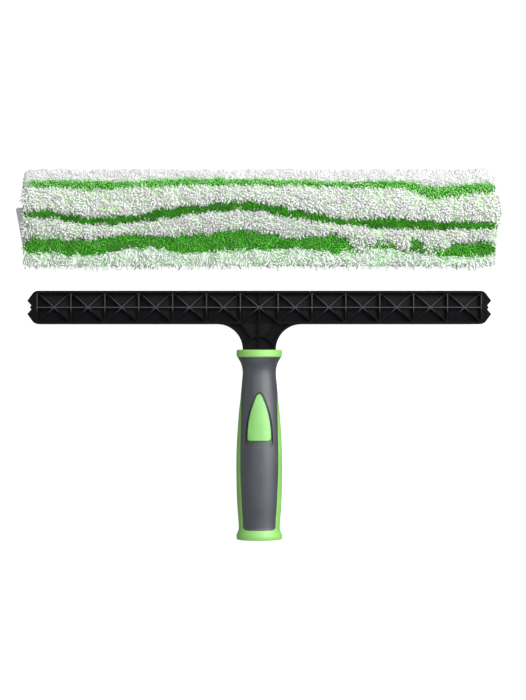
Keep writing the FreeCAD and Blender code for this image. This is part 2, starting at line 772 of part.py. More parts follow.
def make_handle():
    """Core, soft grip, collar, and the button with its plunger, pins and spring."""
    skin = handle_skin("handle_skin", ZERO)
    inner_skin = handle_skin("core_skin", -size.grip_thickness)
    crown_skin = handle_skin("button_crown", size.button_proud)
    under_skin = handle_skin("button_underside", -size.button_inset)
    floor_skin = handle_skin("window_floor", -size.window_floor_inset)
    recess_skin = handle_skin("thumb_recess_floor", -size.thumb_recess_depth)
    full_depth = size.collar_depth + size.overrun * 2
    front_height = size.collar_depth / 2 + size.overrun

    panel = extrusion("panel_prism", shape_object("panel_outline", panel_face()),
                      axis - full_depth / 2, full_depth)
    grip_blank = common("grip_blank", cut("grip_shell", skin, inner_skin), panel)

    window_outline = shape_object("window_outline",
                                  button_face(size.button_gap.value, size.button_swing_gap.value))
    window = extrusion("window_prism", window_outline, axis, front_height)
    button_outline = shape_object("button_outline", button_face(0, 0))
    button_prism = extrusion("button_prism", button_outline, axis, front_height)

    # Where the pins, the plunger and the spring lie
    tang_pin_y = below_collar(size.tang_pin_depth)
    pivot_y = below_collar(size.pivot_depth)
    pivot_z = axis + size.pivot_height
    spring_y = below_collar(size.spring_depth)
    plunger_y = below_collar(size.plunger_depth)
    spring_floor = axis + size.chamber_floor - size.spring_cup_depth
    spring_top = axis + size.spine_underside
    # The inner skin's half width at the tang pin and the underside of the button at the plunger
    tang_pin_reach = (profile_half_width(size.tang_pin_depth.value / size.handle_length.value)
                      - size.grip_thickness - size.pin_cover)
    underside_ratio = HANDLE_PROFILE_SHARES[8][2]
    underside_half = profile_half_width(size.plunger_depth.value / size.handle_length.value)
    plunger_top = axis + underside_half * underside_ratio - size.button_inset + size.plunger_seat
    plunger_tip = plunger_top - size.plunger_length

    # Core
    half_slot = size.tang_width / 2 + size.tang_clearance
    half_slot_depth = size.tang_thickness / 2 + size.tang_clearance
    slot_end = below_collar(size.tang_length + size.tang_clearance)
    tang_slot = box("tang_slot", (-half_slot, half_slot), (slot_end, collar_top),
                    (axis - half_slot_depth, axis + half_slot_depth))
    socket = rod("socket_bore", size.socket_radius, size.socket_depth + size.overrun,
                 ZERO, butt - size.overrun, axis, TURN_TO_Y)
    mouth = doc.addObject("Part::Cone", "socket_mouth")
    bind(mouth, Radius1=size.socket_radius + size.socket_chamfer, Radius2=size.socket_radius,
         Height=size.socket_chamfer)
    place(mouth, ZERO, butt, axis, TURN_TO_Y)
    window_well = cut("window_well", window, floor_skin)
    half_chamber = size.spine_width / 2 + size.chamber_gap
    chamber = box("lever_chamber", (-half_chamber, half_chamber),
                  (below_collar(size.spine_end + size.chamber_gap * 3),
                   pivot_y + size.boss_radius + size.chamber_gap),
                  (axis + size.chamber_floor, axis + front_height / 2 + size.overrun))
    spring_cup = rod("spring_cup", size.spring_radius + size.spring_wire_radius + size.pin_cover / 2,
                     size.spring_cup_depth + size.overrun, ZERO, spring_y, spring_floor)
    plunger_hole = rod("plunger_hole", size.plunger_radius + size.plunger_gap, size.socket_radius,
                       ZERO, plunger_y, axis + size.socket_radius / 2)
    pivot_hole = rod("pivot_hole", size.pivot_pin_radius + size.pin_clearance, size.pivot_pin_length,
                     -(size.pivot_pin_length / 2), pivot_y, pivot_z, TURN_TO_X)
    pin_hole = rod("core_pin_hole", size.tang_pin_radius + size.pin_clearance, tang_pin_reach * 2,
                   -tang_pin_reach, tang_pin_y, axis, TURN_TO_X)
    core_blank = cut("core_blank", skin, grip_blank)
    cut("handle_core", core_blank, tang_slot, socket, mouth, window_well, chamber, spring_cup,
        plunger_hole, pivot_hole, pin_hole)

    # Soft grip with the button's window and a shallow recess for the thumb round it
    recess_outline = shape_object("thumb_recess_outline", button_face(
        size.thumb_recess_gap.value, size.thumb_recess_drop.value))
    recess = cut("thumb_recess", extrusion("thumb_recess_prism", recess_outline, axis, front_height),
                 recess_skin)
    cut("grip_overmould", grip_blank, window, recess)

    # Button: a curved shell with a spine that carries its pivot boss
    half_spine = size.spine_width / 2
    shell = cut("button_shell", common("button_cap", button_prism, crown_skin), under_skin)
    spine_span = (below_collar(size.spine_end), pivot_y + size.boss_radius)
    spine_box = box("spine_box", (-half_spine, half_spine), spine_span, (spring_top, axis + front_height))
    neck_box = box("boss_neck", (-half_spine, half_spine),
                   (pivot_y - size.boss_radius, pivot_y + size.boss_radius), (pivot_z, axis + front_height))
    boss = rod("pivot_boss", size.boss_radius, size.spine_width, -half_spine, pivot_y, pivot_z, TURN_TO_X)
    spine = common("button_spine", fuse("spine_blank", spine_box, neck_box, boss), under_skin)
    boss_hole = rod("boss_hole", size.pivot_pin_radius + size.pivot_clearance,
                    size.spine_width + size.overrun * 2,
                    -half_spine - size.overrun, pivot_y, pivot_z, TURN_TO_X)
    plunger_socket = rod("plunger_socket", size.plunger_radius + size.pin_clearance, size.plunger_length,
                         ZERO, plunger_y, plunger_tip)
    cut("release_button", fuse("button_blank", shell, spine), boss_hole, plunger_socket)
    rod("lock_plunger", size.plunger_radius, size.plunger_length, ZERO, plunger_y, plunger_tip)

    # Pins and spring
    rod("lever_pivot_pin", size.pivot_pin_radius, size.pivot_pin_length,
        -(size.pivot_pin_length / 2), pivot_y, pivot_z, TURN_TO_X)
    rod("tang_pin", size.tang_pin_radius, tang_pin_reach * 2, -tang_pin_reach, tang_pin_y, axis, TURN_TO_X)
    make_return_spring(spring_y, spring_floor, spring_top)

    # Collar: an elliptical ring round the tang
    ring = doc.addObject("Part::Ellipse", "collar_outline")
    bind(ring, MajorRadius=size.collar_width / 2, MinorRadius=size.collar_depth / 2)
    collar_blank = extrusion("collar_blank", ring, ZERO, size.collar_height)
    collar_blank.Placement = FreeCAD.Placement()
    doc.recompute()
    rounded = doc.addObject("Part::Fillet", "collar_rounded")
    rounded.Base = collar_blank
    radius = size.collar_edge_radius.value
    rounded.Edges = [(number, radius, radius)
                     for number, edge in enumerate(collar_blank.Shape.Edges, start=1)
                     if edge.Length > size.collar_width.value]
    place(rounded, ZERO, collar_top - size.collar_height, axis, TURN_TO_Y)
    collar_slot = box("collar_slot", (-half_slot, half_slot),
                      (collar_top - size.collar_height - size.overrun, collar_top + size.overrun),
                      (axis - half_slot_depth, axis + half_slot_depth))
    cut("neck_collar", rounded, collar_slot)


def make_return_spring(y, floor, top):
    """A coil spring standing between the cup and the button's spine."""
    wire = size.spring_wire_radius.value
    height = (top - floor).value - wire * 2
    turns = size.spring_turns.value
    radius = size.spring_radius.value
    helix = Part.makeHelix(height / turns, height, radius)
    profile = Part.Wire([Part.makeCircle(wire, FreeCAD.Vector(radius, 0, 0), FreeCAD.Vector(0, 1, 0))])
    coil = Part.Wire(helix.Edges).makePipeShell([profile], True, True)
    spring = shape_object("return_spring", coil)
    return place(spring, ZERO, y, floor + size.spring_wire_radius)


# The sleeve: a folded cloth pocket, open at the bottom, with pile outside.


def rounded_slab(name, radius, reach, bottom):
    """A long slab of twice the radius thick with a half-round top that ends under the pile."""
    middle = sleeve_top - white_outer
    slab = box(name + "_slab", (-reach, reach), (bottom, middle), (axis - radius, axis + radius))
    top = rod(name + "_top", radius, reach * 2, -reach, middle, axis, TURN_TO_X)
    return fuse(name, slab, top)


def stripe_edge(shares, column):
    """One wavy edge of a stripe, as points along the sleeve."""
    length = sleeve_reach.value * 2
    top = sleeve_top.value
    height = size.sleeve_height.value
    return [FreeCAD.Vector(length * row[0], top - height * row[column], 0) for row in shares]


def straight_edge(y):
    """A straight edge at this y, past both ends of the sleeve."""
    reach = (sleeve_reach + size.overrun * 2).value
    return [FreeCAD.Vector(-reach, y.value, 0), FreeCAD.Vector(reach, y.value, 0)]


def band_face(upper, lower):
    """The flat region between two edges."""
    lines = []
    for points in (upper, lower):
        curve = Part.BSplineCurve()
        curve.interpolate(points)
        lines.append(curve.toShape())
    ends = [Part.LineSegment(lower[end], upper[end]).toShape() for end in (0, -1)]
    return Part.Face(Part.Wire(Part.__sortEdges__(lines + ends)))


def make_pile():
    """White bands and green stripes, each its own strip of pile. The top band wraps the fold."""
    white = cut("white_shell", rounded_slab("white_outside", white_outer, sleeve_reach, sleeve_bottom),
                rounded_slab("white_inside", cloth_outer, sleeve_reach + size.overrun,
                             sleeve_bottom - size.overrun))
    green = cut("green_shell", rounded_slab("green_outside", green_outer, sleeve_reach, sleeve_bottom),
                rounded_slab("green_inside", cloth_outer, sleeve_reach + size.overrun,
                             sleeve_bottom - size.overrun))
    edges = [stripe_edge(shares, column)
             for shares in (UPPER_STRIPE_SHARES, MIDDLE_STRIPE_SHARES, LOWER_STRIPE_SHARES)
             for column in (1, 2)]
    roof = straight_edge(sleeve_top + size.overrun)
    floor = straight_edge(sleeve_bottom - size.overrun)
    # A straight edge beyond the sleeve ends where the wavy edges end.
    for points in (roof, floor):
        points[0].x = edges[0][0].x
        points[-1].x = edges[0][-1].x
    thickness = white_outer + size.overrun
    top_region = extrusion("top_region", shape_object("top_outline", band_face(roof, edges[0])),
                           axis - thickness, thickness * 2)
    common("top_white_band", white, top_region)
    names = ("upper_green_stripe", "upper_white_band", "middle_green_stripe", "middle_white_band",
             "lower_green_stripe", "lower_white_band")
    hem_outer = cloth_outer + size.hem_thickness
    hem_room = box("hem_room", (-cloth_reach, cloth_reach),
                   (sleeve_bottom - size.overrun, sleeve_bottom + size.hem_height),
                   (axis - hem_outer, axis + hem_outer))
    for side, start in (("front", axis), ("back", axis - thickness)):
        for name, upper, lower in zip(names, edges, edges[1:] + [floor]):
            outline = shape_object(side + "_" + name + "_outline", band_face(upper, lower))
            region = extrusion(side + "_" + name + "_region", outline, start, thickness)
            shell = green if "green" in name else white
            if "lower" not in name:
                common(side + "_" + name, shell, region)
                continue
            strip = common(side + "_" + name + "_strip", shell, region)
            cut(side + "_" + name, strip, hem_room)


def make_sleeve():
    """Cloth pocket, end panels, hems, fastening tapes and pull tabs."""
    cloth_bottom = sleeve_bottom + size.hem_thickness
    cut("sleeve_backing", rounded_slab("cloth_outside", cloth_outer, cloth_reach, cloth_bottom),
        rounded_slab("cloth_inside", cloth_inner, cloth_reach + size.overrun, cloth_bottom - size.overrun))
    fold_middle = sleeve_top - white_outer
    for side, low_x, high_x in (("left", -panel_reach, -cloth_reach), ("right", cloth_reach, panel_reach)):
        slab = box(side + "_panel_slab", (low_x, high_x), (cloth_bottom, fold_middle),
                   (axis - cloth_outer, axis + cloth_outer))
        top = rod(side + "_panel_top", cloth_outer, high_x - low_x, low_x, fold_middle, axis, TURN_TO_X)
        fuse(side + "_end_panel", slab, top)
    for side, low_z, high_z in (("front", axis + cloth_inner, axis + cloth_outer),
                                ("back", axis - cloth_outer, axis - cloth_inner)):
        hem = box(side + "_hem_blank", (-cloth_reach, cloth_reach),
                  (sleeve_bottom, sleeve_bottom + size.hem_height),
                  (low_z - size.hem_thickness, high_z + size.hem_thickness))
        room = box(side + "_hem_slot", (-cloth_reach - size.overrun, cloth_reach + size.overrun),
                   (cloth_bottom, sleeve_bottom + size.hem_height + size.overrun), (low_z, high_z))
        cut(side + "_hem", hem, room)
    tape_low = sleeve_bottom + size.hem_height + size.tape_hem_gap
    tape_far = cloth_reach - size.tape_end_margin
    tape_rows = (("hook", axis + cloth_inner - size.tape_thickness, axis + cloth_inner),
                 ("loop", axis - cloth_inner, axis - cloth_inner + size.tape_thickness))
    for kind, low_z, high_z in tape_rows:
        for side, span in (("left", (-tape_far, -size.tape_start)), ("right", (size.tape_start, tape_far))):
            box(side + "_" + kind + "_tape", span, (tape_low, tape_low + size.tape_height), (low_z, high_z))
    tab_top = sleeve_top - size.tab_drop
    half_tab = size.cloth_thickness / 2
    for side, sign in (("left", -1), ("right", 1)):
        corners = [
            vector(panel_reach * sign, tab_top),
            vector((panel_reach + size.tab_reach) * sign, tab_top),
            vector((panel_reach + size.tab_low_reach) * sign, tab_top - size.tab_height),
            vector(panel_reach * sign, tab_top - size.tab_height),
        ]
        outline = shape_object(side + "_tab_outline", Part.Face(Part.makePolygon(corners + corners[:1])))
        extrusion(side + "_pull_tab", outline, axis - half_tab, size.cloth_thickness)


make_t_bar()
make_handle()
make_pile()
make_sleeve()
doc.recompute()

NODES = (
    "t_bar", "neck_collar", "tang_pin", "handle_core", "grip_overmould",
    "release_button", "lock_plunger", "lever_pivot_pin", "return_spring",
    "sleeve_backing", "left_end_panel", "right_end_panel", "front_hem", "back_hem",
    "left_hook_tape", "right_hook_tape", "left_loop_tape", "right_loop_tape",
    "left_pull_tab", "right_pull_tab", "top_white_band",
    "front_upper_green_stripe", "front_upper_white_band", "front_middle_green_stripe",
    "front_middle_white_band", "front_lower_green_stripe", "front_lower_white_band",
    "back_upper_green_stripe", "back_upper_white_band", "back_middle_green_stripe",
    "back_middle_white_band", "back_lower_green_stripe", "back_lower_white_band",
)

for item in doc.Objects:
    if "Invalid" in item.State or "Error" in item.State:
        raise RuntimeError(item.Name + " did not build: " + str(item.State))

os.makedirs("parts", exist_ok=True)
for node in NODES:
    piece = doc.getObject(node)
    piece.Label = node
    shape = piece.Shape
    if shape.isNull() or not shape.isValid():
        raise RuntimeError(node + " has no valid shape")
    shape.exportStep("parts/" + node + ".step")
    print(node, "solids:", len(shape.Solids), "volume:", round(shape.Volume, 1))
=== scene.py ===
"""Looks of a window strip washer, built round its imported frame.

The object lies flat on z = 0. A ribbed T-bar with a two-colour handle lies below the loose pile sleeve that
is pulled over the bar. x runs along the bar, y from the butt of the handle to the sleeve. Metres.
"""

from __future__ import annotations

import logging
import math
from dataclasses import dataclass, field, replace
from enum import Enum
from typing import Any, Mapping, Sequence

import bmesh
import bpy
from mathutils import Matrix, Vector, noise
from mathutils.bvhtree import BVHTree

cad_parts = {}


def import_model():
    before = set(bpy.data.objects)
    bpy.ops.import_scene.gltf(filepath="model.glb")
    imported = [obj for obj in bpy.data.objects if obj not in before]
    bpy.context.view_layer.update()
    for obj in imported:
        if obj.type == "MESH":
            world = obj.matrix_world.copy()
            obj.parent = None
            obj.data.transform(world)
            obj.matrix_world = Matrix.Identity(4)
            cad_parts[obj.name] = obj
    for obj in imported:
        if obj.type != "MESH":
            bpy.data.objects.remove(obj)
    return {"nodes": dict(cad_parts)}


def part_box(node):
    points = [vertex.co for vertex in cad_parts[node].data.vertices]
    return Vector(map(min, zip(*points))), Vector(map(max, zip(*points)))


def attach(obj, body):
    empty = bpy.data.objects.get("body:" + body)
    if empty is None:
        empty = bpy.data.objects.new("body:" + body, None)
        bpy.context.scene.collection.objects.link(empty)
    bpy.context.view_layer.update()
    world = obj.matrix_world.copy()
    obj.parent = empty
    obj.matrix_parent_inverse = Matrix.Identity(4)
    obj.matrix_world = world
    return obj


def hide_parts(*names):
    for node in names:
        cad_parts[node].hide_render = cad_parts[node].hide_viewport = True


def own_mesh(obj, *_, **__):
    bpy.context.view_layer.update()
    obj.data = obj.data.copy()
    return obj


LOG = logging.getLogger("strip_washer")
MM = 0.001
# What meshes carry for their materials and for the trees that are grown on them
WEAVE_MAP, ALONG, TINT, GHOST, GROWS, OUTWARD = "weave", "along", "tint", "ghost", "grows", "outward"

Colour = tuple[float, float, float, float]
Points = Sequence[Vector]
Map = Sequence[tuple[float, float]]


def srgb(red: int, green: int, blue: int) -> Colour:
    """A colour as the eye sees it, 0 to 255, turned into the light that a shader works with."""
    linear = [((part / 255 + 0.055) / 1.055) ** 2.4 if part > 10 else part / 255 / 12.92
              for part in (red, green, blue)]
    return (linear[0], linear[1], linear[2], 1.0)


def link(name: str, data: Any) -> bpy.types.Object:
    """Puts a new object in the scene, at the origin."""
    made = bpy.data.objects.new(name, data)
    bpy.context.scene.collection.objects.link(made)
    return made


# Node trees


class Wire:
    """An output in a node tree, reckoned with like a number or a vector."""

    def __init__(self, graph: Graph, socket: bpy.types.NodeSocket) -> None:
        """Holds the output and the graph that it belongs to."""
        self.graph = graph
        self.socket = socket

    def _with(self, operation: str, first: Any, second: Any) -> Wire:
        """Joins two numbers or two vectors by an operation."""
        kind = "VectorMath" if self.socket.type in ("VECTOR", "RGBA") else "Math"
        return self.graph.wire("ShaderNode" + kind, {0: first, 1: second}, operation=operation)

    def __add__(self, other: Any) -> Wire:
        """Sum."""
        return self._with("ADD", self, other)

    def __sub__(self, other: Any) -> Wire:
        """Difference."""
        return self._with("SUBTRACT", self, other)

    def __rsub__(self, other: float) -> Wire:
        """Difference from a number."""
        return self._with("SUBTRACT", other, self)

    def __mul__(self, other: Any) -> Wire:
        """Product of two numbers, or a vector times a number."""
        if self.socket.type in ("VECTOR", "RGBA"):
            return self.graph.wire("ShaderNodeVectorMath", {0: self, 3: other}, operation="SCALE")
        return self._with("MULTIPLY", self, other)

    def __truediv__(self, other: Any) -> Wire:
        """Quotient."""
        return self._with("DIVIDE", self, other)

    def __rtruediv__(self, other: float) -> Wire:
        """A number divided by this."""
        return self._with("DIVIDE", other, self)

    def __pow__(self, other: float) -> Wire:
        """Power."""
        return self._with("POWER", self, other)

    def __abs__(self) -> Wire:
        """Size without sign."""
        return self.graph.math("ABSOLUTE", self)


class Graph:
    """Adds and joins nodes in one node tree."""

    def __init__(self, tree: bpy.types.NodeTree) -> None:
        """Starts on a tree."""
        self.tree = tree

    def feed(self, socket: bpy.types.NodeSocket, value: Any) -> None:
        """Gives an input a value, or joins it to a wire."""
        if isinstance(value, Wire):
            self.tree.links.new(value.socket, socket)
        else:
            socket.default_value = value

    def node(self, kind: str, inputs: Mapping[Any, Any] | None = None, **settings: Any) -> bpy.types.Node:
        """Adds one node.

        Args:
            kind: The node's type name.
            inputs: Value or wire for each input, by the input's name or number.
            **settings: Properties of the node.

        Returns:
            The new node.
        """
        made = self.tree.nodes.new(kind)
        for key, value in settings.items():
            setattr(made, key, value)
        for key, value in (inputs or {}).items():
            self.feed(made.inputs[key], value)
        return made

    def wire(self, kind: str, inputs: Mapping[Any, Any] | None = None, output: int | str = 0,
             **settings: Any) -> Wire:
        """Adds one node and returns one of its outputs, the first if none is named."""
        return Wire(self, self.node(kind, inputs, **settings).outputs[output])

    def math(self, operation: str, *values: Any, clamp: bool = False) -> Wire:
        """An operation on numbers."""
        return self.wire("ShaderNodeMath", dict(enumerate(values)), operation=operation, use_clamp=clamp)

    def parts(self, vector: Wire) -> list[Wire]:
        """The x, y and z of a vector."""
        return [Wire(self, part) for part in self.node("ShaderNodeSeparateXYZ", {0: vector}).outputs]

    def vector_of(self, x: Any = 0.0, y: Any = 0.0, z: Any = 0.0) -> Wire:
        """A vector from three numbers."""
        return self.wire("ShaderNodeCombineXYZ", {0: x, 1: y, 2: z})

    def blend(self, factor: Any, first: Any, second: Any) -> Wire:
        """A number between two others."""
        return self.wire("ShaderNodeMix", {0: factor, 2: first, 3: second})

    def noise(self, scale: Any, detail: float, **inputs: Any) -> bpy.types.Node:
        """A noise texture with so many waves to a metre and so many finer layers."""
        return self.node("ShaderNodeTexNoise", {"Scale": scale, "Detail": detail, "Roughness": 0.5} | inputs)

    def remap(self, value: Wire, low: float, high: float, to_low: float = 0.0, to_high: float = 1.0) -> Wire:
        """A number moved from one range to another and held inside it."""
        return self.wire("ShaderNodeMapRange", {0: value, 1: low, 2: high, 3: to_low, 4: to_high})


class Shader(Graph):
    """The node tree of one material with a single surface."""

    def __init__(self, name: str, **surface: Any) -> None:
        """Makes the material, with the value of each input of the surface that is the same all over."""
        self.material = bpy.data.materials.new(name)
        self.material.use_nodes = True
        super().__init__(self.material.node_tree)
        self.surface = next(n for n in self.tree.nodes if n.type == "BSDF_PRINCIPLED")
        self.finish(**surface)
        self.place = self.wire("ShaderNodeTexCoord", output="Object")

    def mottle(self, size: float, detail: float, roughness: float, low: float = 0.3, high: float = 0.7,
               to_low: float = 0.0, to_high: float = 1.0, warp: float = 0.0, at: Wire | None = None) -> Wire:
        """Cloudy spots.

        Args:
            size: About how large they are.
            detail: How many finer layers are added.
            roughness: How strong the finer layers are.
            low: The noise that gives to_low.
            high: The noise that gives to_high.
            to_low: The number where the spots are lowest.
            to_high: The number where they are highest.
            warp: How far they are warped.
            at: Where they are read, the place in the piece if nothing is given.

        Returns:
            The number.
        """
        return self.remap(self.fine(size, detail, roughness, warp, at), low, high, to_low, to_high)

    def fine(self, size: float, detail: float, roughness: float, warp: float = 0.0,
             at: Wire | None = None) -> Wire:
        """Plain noise of a size, as it comes."""
        made = self.noise(1 / size, detail, Roughness=roughness, Distortion=warp, Vector=at or self.place)
        return Wire(self, made.outputs[0])

    def colours(self, factor: Any, first: Any, second: Any, kind: str = "MIX") -> Wire:
        """A colour between two others."""
        return self.wire("ShaderNodeMix", {0: factor, 6: first, 7: second}, 2, data_type="RGBA",
                         blend_type=kind)

    def shaded(self, colour: Any, shade: Wire) -> Wire:
        """A colour times a number."""
        return self.colours(1.0, colour, self.vector_of(shade, shade, shade), "MULTIPLY")

    def attribute(self, name: str) -> Wire:
        """A number that the mesh carries."""
        return self.wire("ShaderNodeAttribute", output="Fac", attribute_name=name)

    def uv(self) -> Wire:
        """The piece's own map, in metres of cloth."""
        return self.wire("ShaderNodeUVMap", output="UV", uv_map=WEAVE_MAP)

    def bump(self, height: Wire, depth: float, under: Wire | None = None) -> Wire:
        """Tilts the surface, or the normal under it. A height of 1 stands for the depth, in metres."""
        inputs = {"Height": height, "Distance": depth} | ({"Normal": under} if under else {})
        return self.wire("ShaderNodeBump", inputs, "Normal")

    def finish(self, **inputs: Any) -> bpy.types.Material:
        """Sets or joins inputs of the surface and returns the material."""
        for key, value in inputs.items():
            self.feed(self.surface.inputs[key.replace("_", " ").title().replace("Ior", "IOR")], value)
        return self.material


class SocketKind(Enum):
    """Kinds of named input that a Geometry Nodes tree has here."""

    NUMBER = "NodeSocketFloat"
    COUNT = "NodeSocketInt"
    VECTOR = "NodeSocketVector"
    MATERIAL = "NodeSocketMaterial"


class GrowingTree(Graph):
    """A Geometry Nodes tree with named inputs, run once on a source and turned into a plain mesh."""

    def __init__(self, name: str) -> None:
        """Makes the tree with its first input and its output."""
        super().__init__(bpy.data.node_groups.new(name, "GeometryNodeTree"))
        for way in ("INPUT", "OUTPUT"):
            self.tree.interface.new_socket("Geometry", in_out=way, socket_type="NodeSocketGeometry")
        self.begin = self.tree.nodes.new("NodeGroupInput")
        self.end = self.tree.nodes.new("NodeGroupOutput")

    def named(self, *names: str, kind: SocketKind = SocketKind.NUMBER) -> list[Wire]:
        """Adds named inputs of one kind."""
        for name in names:
            self.tree.interface.new_socket(name, in_out="INPUT", socket_type=kind.value)
        return [Wire(self, self.begin.outputs[name]) for name in names]

    @property
    def source(self) -> Wire:
        """The geometry that the tree is run on."""
        return Wire(self, self.begin.outputs["Geometry"])

    def random(self, low: float, high: float, seed: Any) -> Wire:
        """A random number for each point."""
        return self.wire("FunctionNodeRandomValue", {2: low, 3: high, "Seed": seed}, 1, data_type="FLOAT")

    def random_vector(self, reach: Any, seed: Any) -> Wire:
        """A random vector for each point, as far as reach each way."""
        return self.wire("FunctionNodeRandomValue", {0: (-1, -1, -1), 1: (1, 1, 1), "Seed": seed},
                         data_type="FLOAT_VECTOR") * reach

    def stored(self, name: str, kind: str) -> Wire:
        """What the source carries under a name."""
        return self.wire("GeometryNodeInputNamedAttribute", {"Name": name}, data_type=kind)

    def store(self, geometry: Wire, name: str, value: Wire, domain: str = "POINT") -> Wire:
        """Keeps a number on the geometry under a name."""
        return self.wire("GeometryNodeStoreNamedAttribute",
                         {"Geometry": geometry, "Name": name, "Value": value},
                         data_type="FLOAT", domain=domain)

    def facing(self, heading: Wire, axis: str = "Z") -> Wire:
        """The turn that points an axis along a heading."""
        return self.wire("FunctionNodeAlignRotationToVector", {"Vector": heading}, axis=axis)

    def spun(self, turn: Wire, angle: Wire) -> Wire:
        """A turn after a spin about its own z axis."""
        spin = self.wire("FunctionNodeAxisAngleToRotation", {"Axis": (0, 0, 1), "Angle": angle})
        return self.wire("FunctionNodeRotateRotation", {"Rotation": turn, "Rotate By": spin},
                         rotation_space="LOCAL")

    def copies(self, points: Wire, instance: Wire, turn: Wire, more: Mapping[str, Any] | None = None) -> Wire:
        """Copies of an instance on points, with more inputs where they are needed."""
        inputs = {"Points": points, "Instance": instance, "Rotation": turn}
        return self.wire("GeometryNodeInstanceOnPoints", inputs | dict(more or {}))

    def yarn(self, points: Sequence[Wire], radius: Wire, sides: Any, lengths: Any, tip_share: float) -> Wire:
        """A short bent length of yarn that narrows to a rounded tip.

        Args:
            points: Root, middle and tip.
            radius: Its thickest radius.
            sides: Sides of its section.
            lengths: Lengths that it is divided into.
            tip_share: Radius at the very tip as a share of the thickest.

        Returns:
            The yarn as a mesh, with the way from root to tip stored on it.
        """
        curve = self.wire("GeometryNodeCurveQuadraticBezier",
                          {"Resolution": lengths, "Start": points[0], "Middle": points[1], "End": points[2]})
        way = self.wire("GeometryNodeSplineParameter", output="Factor")
        ring = self.wire("GeometryNodeCurvePrimitiveCircle", {"Resolution": sides, "Radius": radius})
        return self.wire("GeometryNodeCurveToMesh",
                         {"Curve": self.store(curve, ALONG, way), "Profile Curve": ring,
                          "Scale": 1.0 - way ** 3.0 * (1.0 - tip_share), "Fill Caps": True})

    def dressed(self, geometry: Wire, material: Wire) -> Wire:
        """Makes instances real, smooths them and gives them their material."""
        real = self.wire("GeometryNodeRealizeInstances", {"Geometry": geometry})
        smooth = self.wire("GeometryNodeSetShadeSmooth", {"Geometry": real})
        return self.wire("GeometryNodeSetMaterial", {"Geometry": smooth, "Material": material})

    def joined(self, parts: Sequence[Wire]) -> Wire:
        """Several geometries as one, in order."""
        node = self.node("GeometryNodeJoinGeometry")
        for part in parts:
            self.feed(node.inputs[0], part)
        return Wire(self, node.outputs[0])

    def close(self, *geometry: Wire) -> None:
        """Joins what the tree has made and ends it."""
        self.feed(self.end.inputs[0], self.joined(geometry))

    def grow(self, source: bpy.types.Object, name: str, values: Mapping[str, Any]) -> bpy.types.Object:
        """Runs the tree on a source object and replaces that object by the result.

        Args:
            source: The object that the tree starts from. It is deleted.
            name: Name of the new piece.
            values: Value of each named input.

        Returns:
            The new piece, a plain mesh at the origin.
        """
        modifier = source.modifiers.new(name, "NODES")
        modifier.node_group = self.tree
        slots = {item.name: item.identifier for item in self.tree.interface.items_tree
                 if item.item_type == "SOCKET" and item.in_out == "INPUT"}
        for key, value in values.items():
            modifier[slots[key]] = value
        graph = bpy.context.evaluated_depsgraph_get()
        mesh = bpy.data.meshes.new_from_object(source.evaluated_get(graph), depsgraph=graph)
        source.modifiers.remove(modifier)
        bpy.data.objects.remove(source)
        mesh.name = name
        return link(name, mesh)


# Meshes


def add_object(name: str, points: Points, faces: Sequence[Sequence[int]] = (),
               material: bpy.types.Material | None = None,
               edges: Sequence[tuple[int, int]] = ()) -> bpy.types.Object:
    """Makes a smooth object.

    Args:
        name: Its name.
        points: Its points.
        faces: The numbers of the points of each face.
        material: Its material, if it has one.
        edges: The numbers of the two points of each loose edge.

    Returns:
        The object, at the origin.
    """
    mesh = bpy.data.meshes.new(name)
    mesh.from_pydata([tuple(p) for p in points], list(edges), [list(f) for f in faces])
    if material is not None:
        mesh.materials.append(material)
    mesh.polygons.foreach_set("use_smooth", [True] * len(mesh.polygons))
    return link(name, mesh)


def loft(name: str, sections: Sequence[Points], material: bpy.types.Material,
         maps: Sequence[Map] = ()) -> bpy.types.Object:
    """A closed shell through closed sections of equally many points.

    Args:
        name: The piece's name.
        sections: The points of each section, in order round it.
        material: Its material.
        maps: Place of each point on the flat cloth, in metres.

    Returns:
        The shell, capped at both ends, with its faces outwards. Its faces come section by section, one for
        each side of the section, and the two caps come last.
    """
    count = len(sections[0])
    faces: list[tuple[int, ...]] = []
    for first in range(0, (len(sections) - 1) * count, count):
        for column in range(count):
            following = (column + 1) % count
            faces.append((first + column, first + following,
                          first + count + following, first + count + column))
    last = (len(sections) - 1) * count
    faces += [tuple(range(count))[::-1], tuple(range(last, last + count))]
    made = add_object(name, [point for section in sections for point in section], faces, material)
    if maps:
        flat = [place for section in maps for place in section]
        layer = made.data.uv_layers.new(name=WEAVE_MAP)
        corners = [loop.vertex_index for loop in made.data.loops]
        layer.data.foreach_set("uv", [part for corner in corners for part in flat[corner]])
    work = bmesh.new()
    work.from_mesh(made.data)
    bmesh.ops.recalc_face_normals(work, faces=work.faces)
    work.to_mesh(made.data)
    work.free()
    return made


def settle(piece: bpy.types.Object, slot: str, *nodes: str) -> bpy.types.Object:
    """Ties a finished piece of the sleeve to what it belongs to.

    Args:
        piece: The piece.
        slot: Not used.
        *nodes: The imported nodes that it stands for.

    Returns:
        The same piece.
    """
    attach(piece, "sleeve")
    if nodes:
        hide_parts(*nodes)
    LOG.info("%s: %d faces", piece.name, len(piece.data.polygons))
    return piece


def ripple(x: float, y: float, size: float, seed: float) -> float:
    """Smooth noise from -1 to 1 with bumps of about a size."""
    return noise.noise(Vector((x / size, y / size, seed)))


def steps(low: float, high: float, step: float) -> list[float]:
    """Evenly spaced numbers from low to high, about a step apart."""
    count = max(1, round((high - low) / step))
    return [low + (high - low) * number / count for number in range(count + 1)]


# Finishes


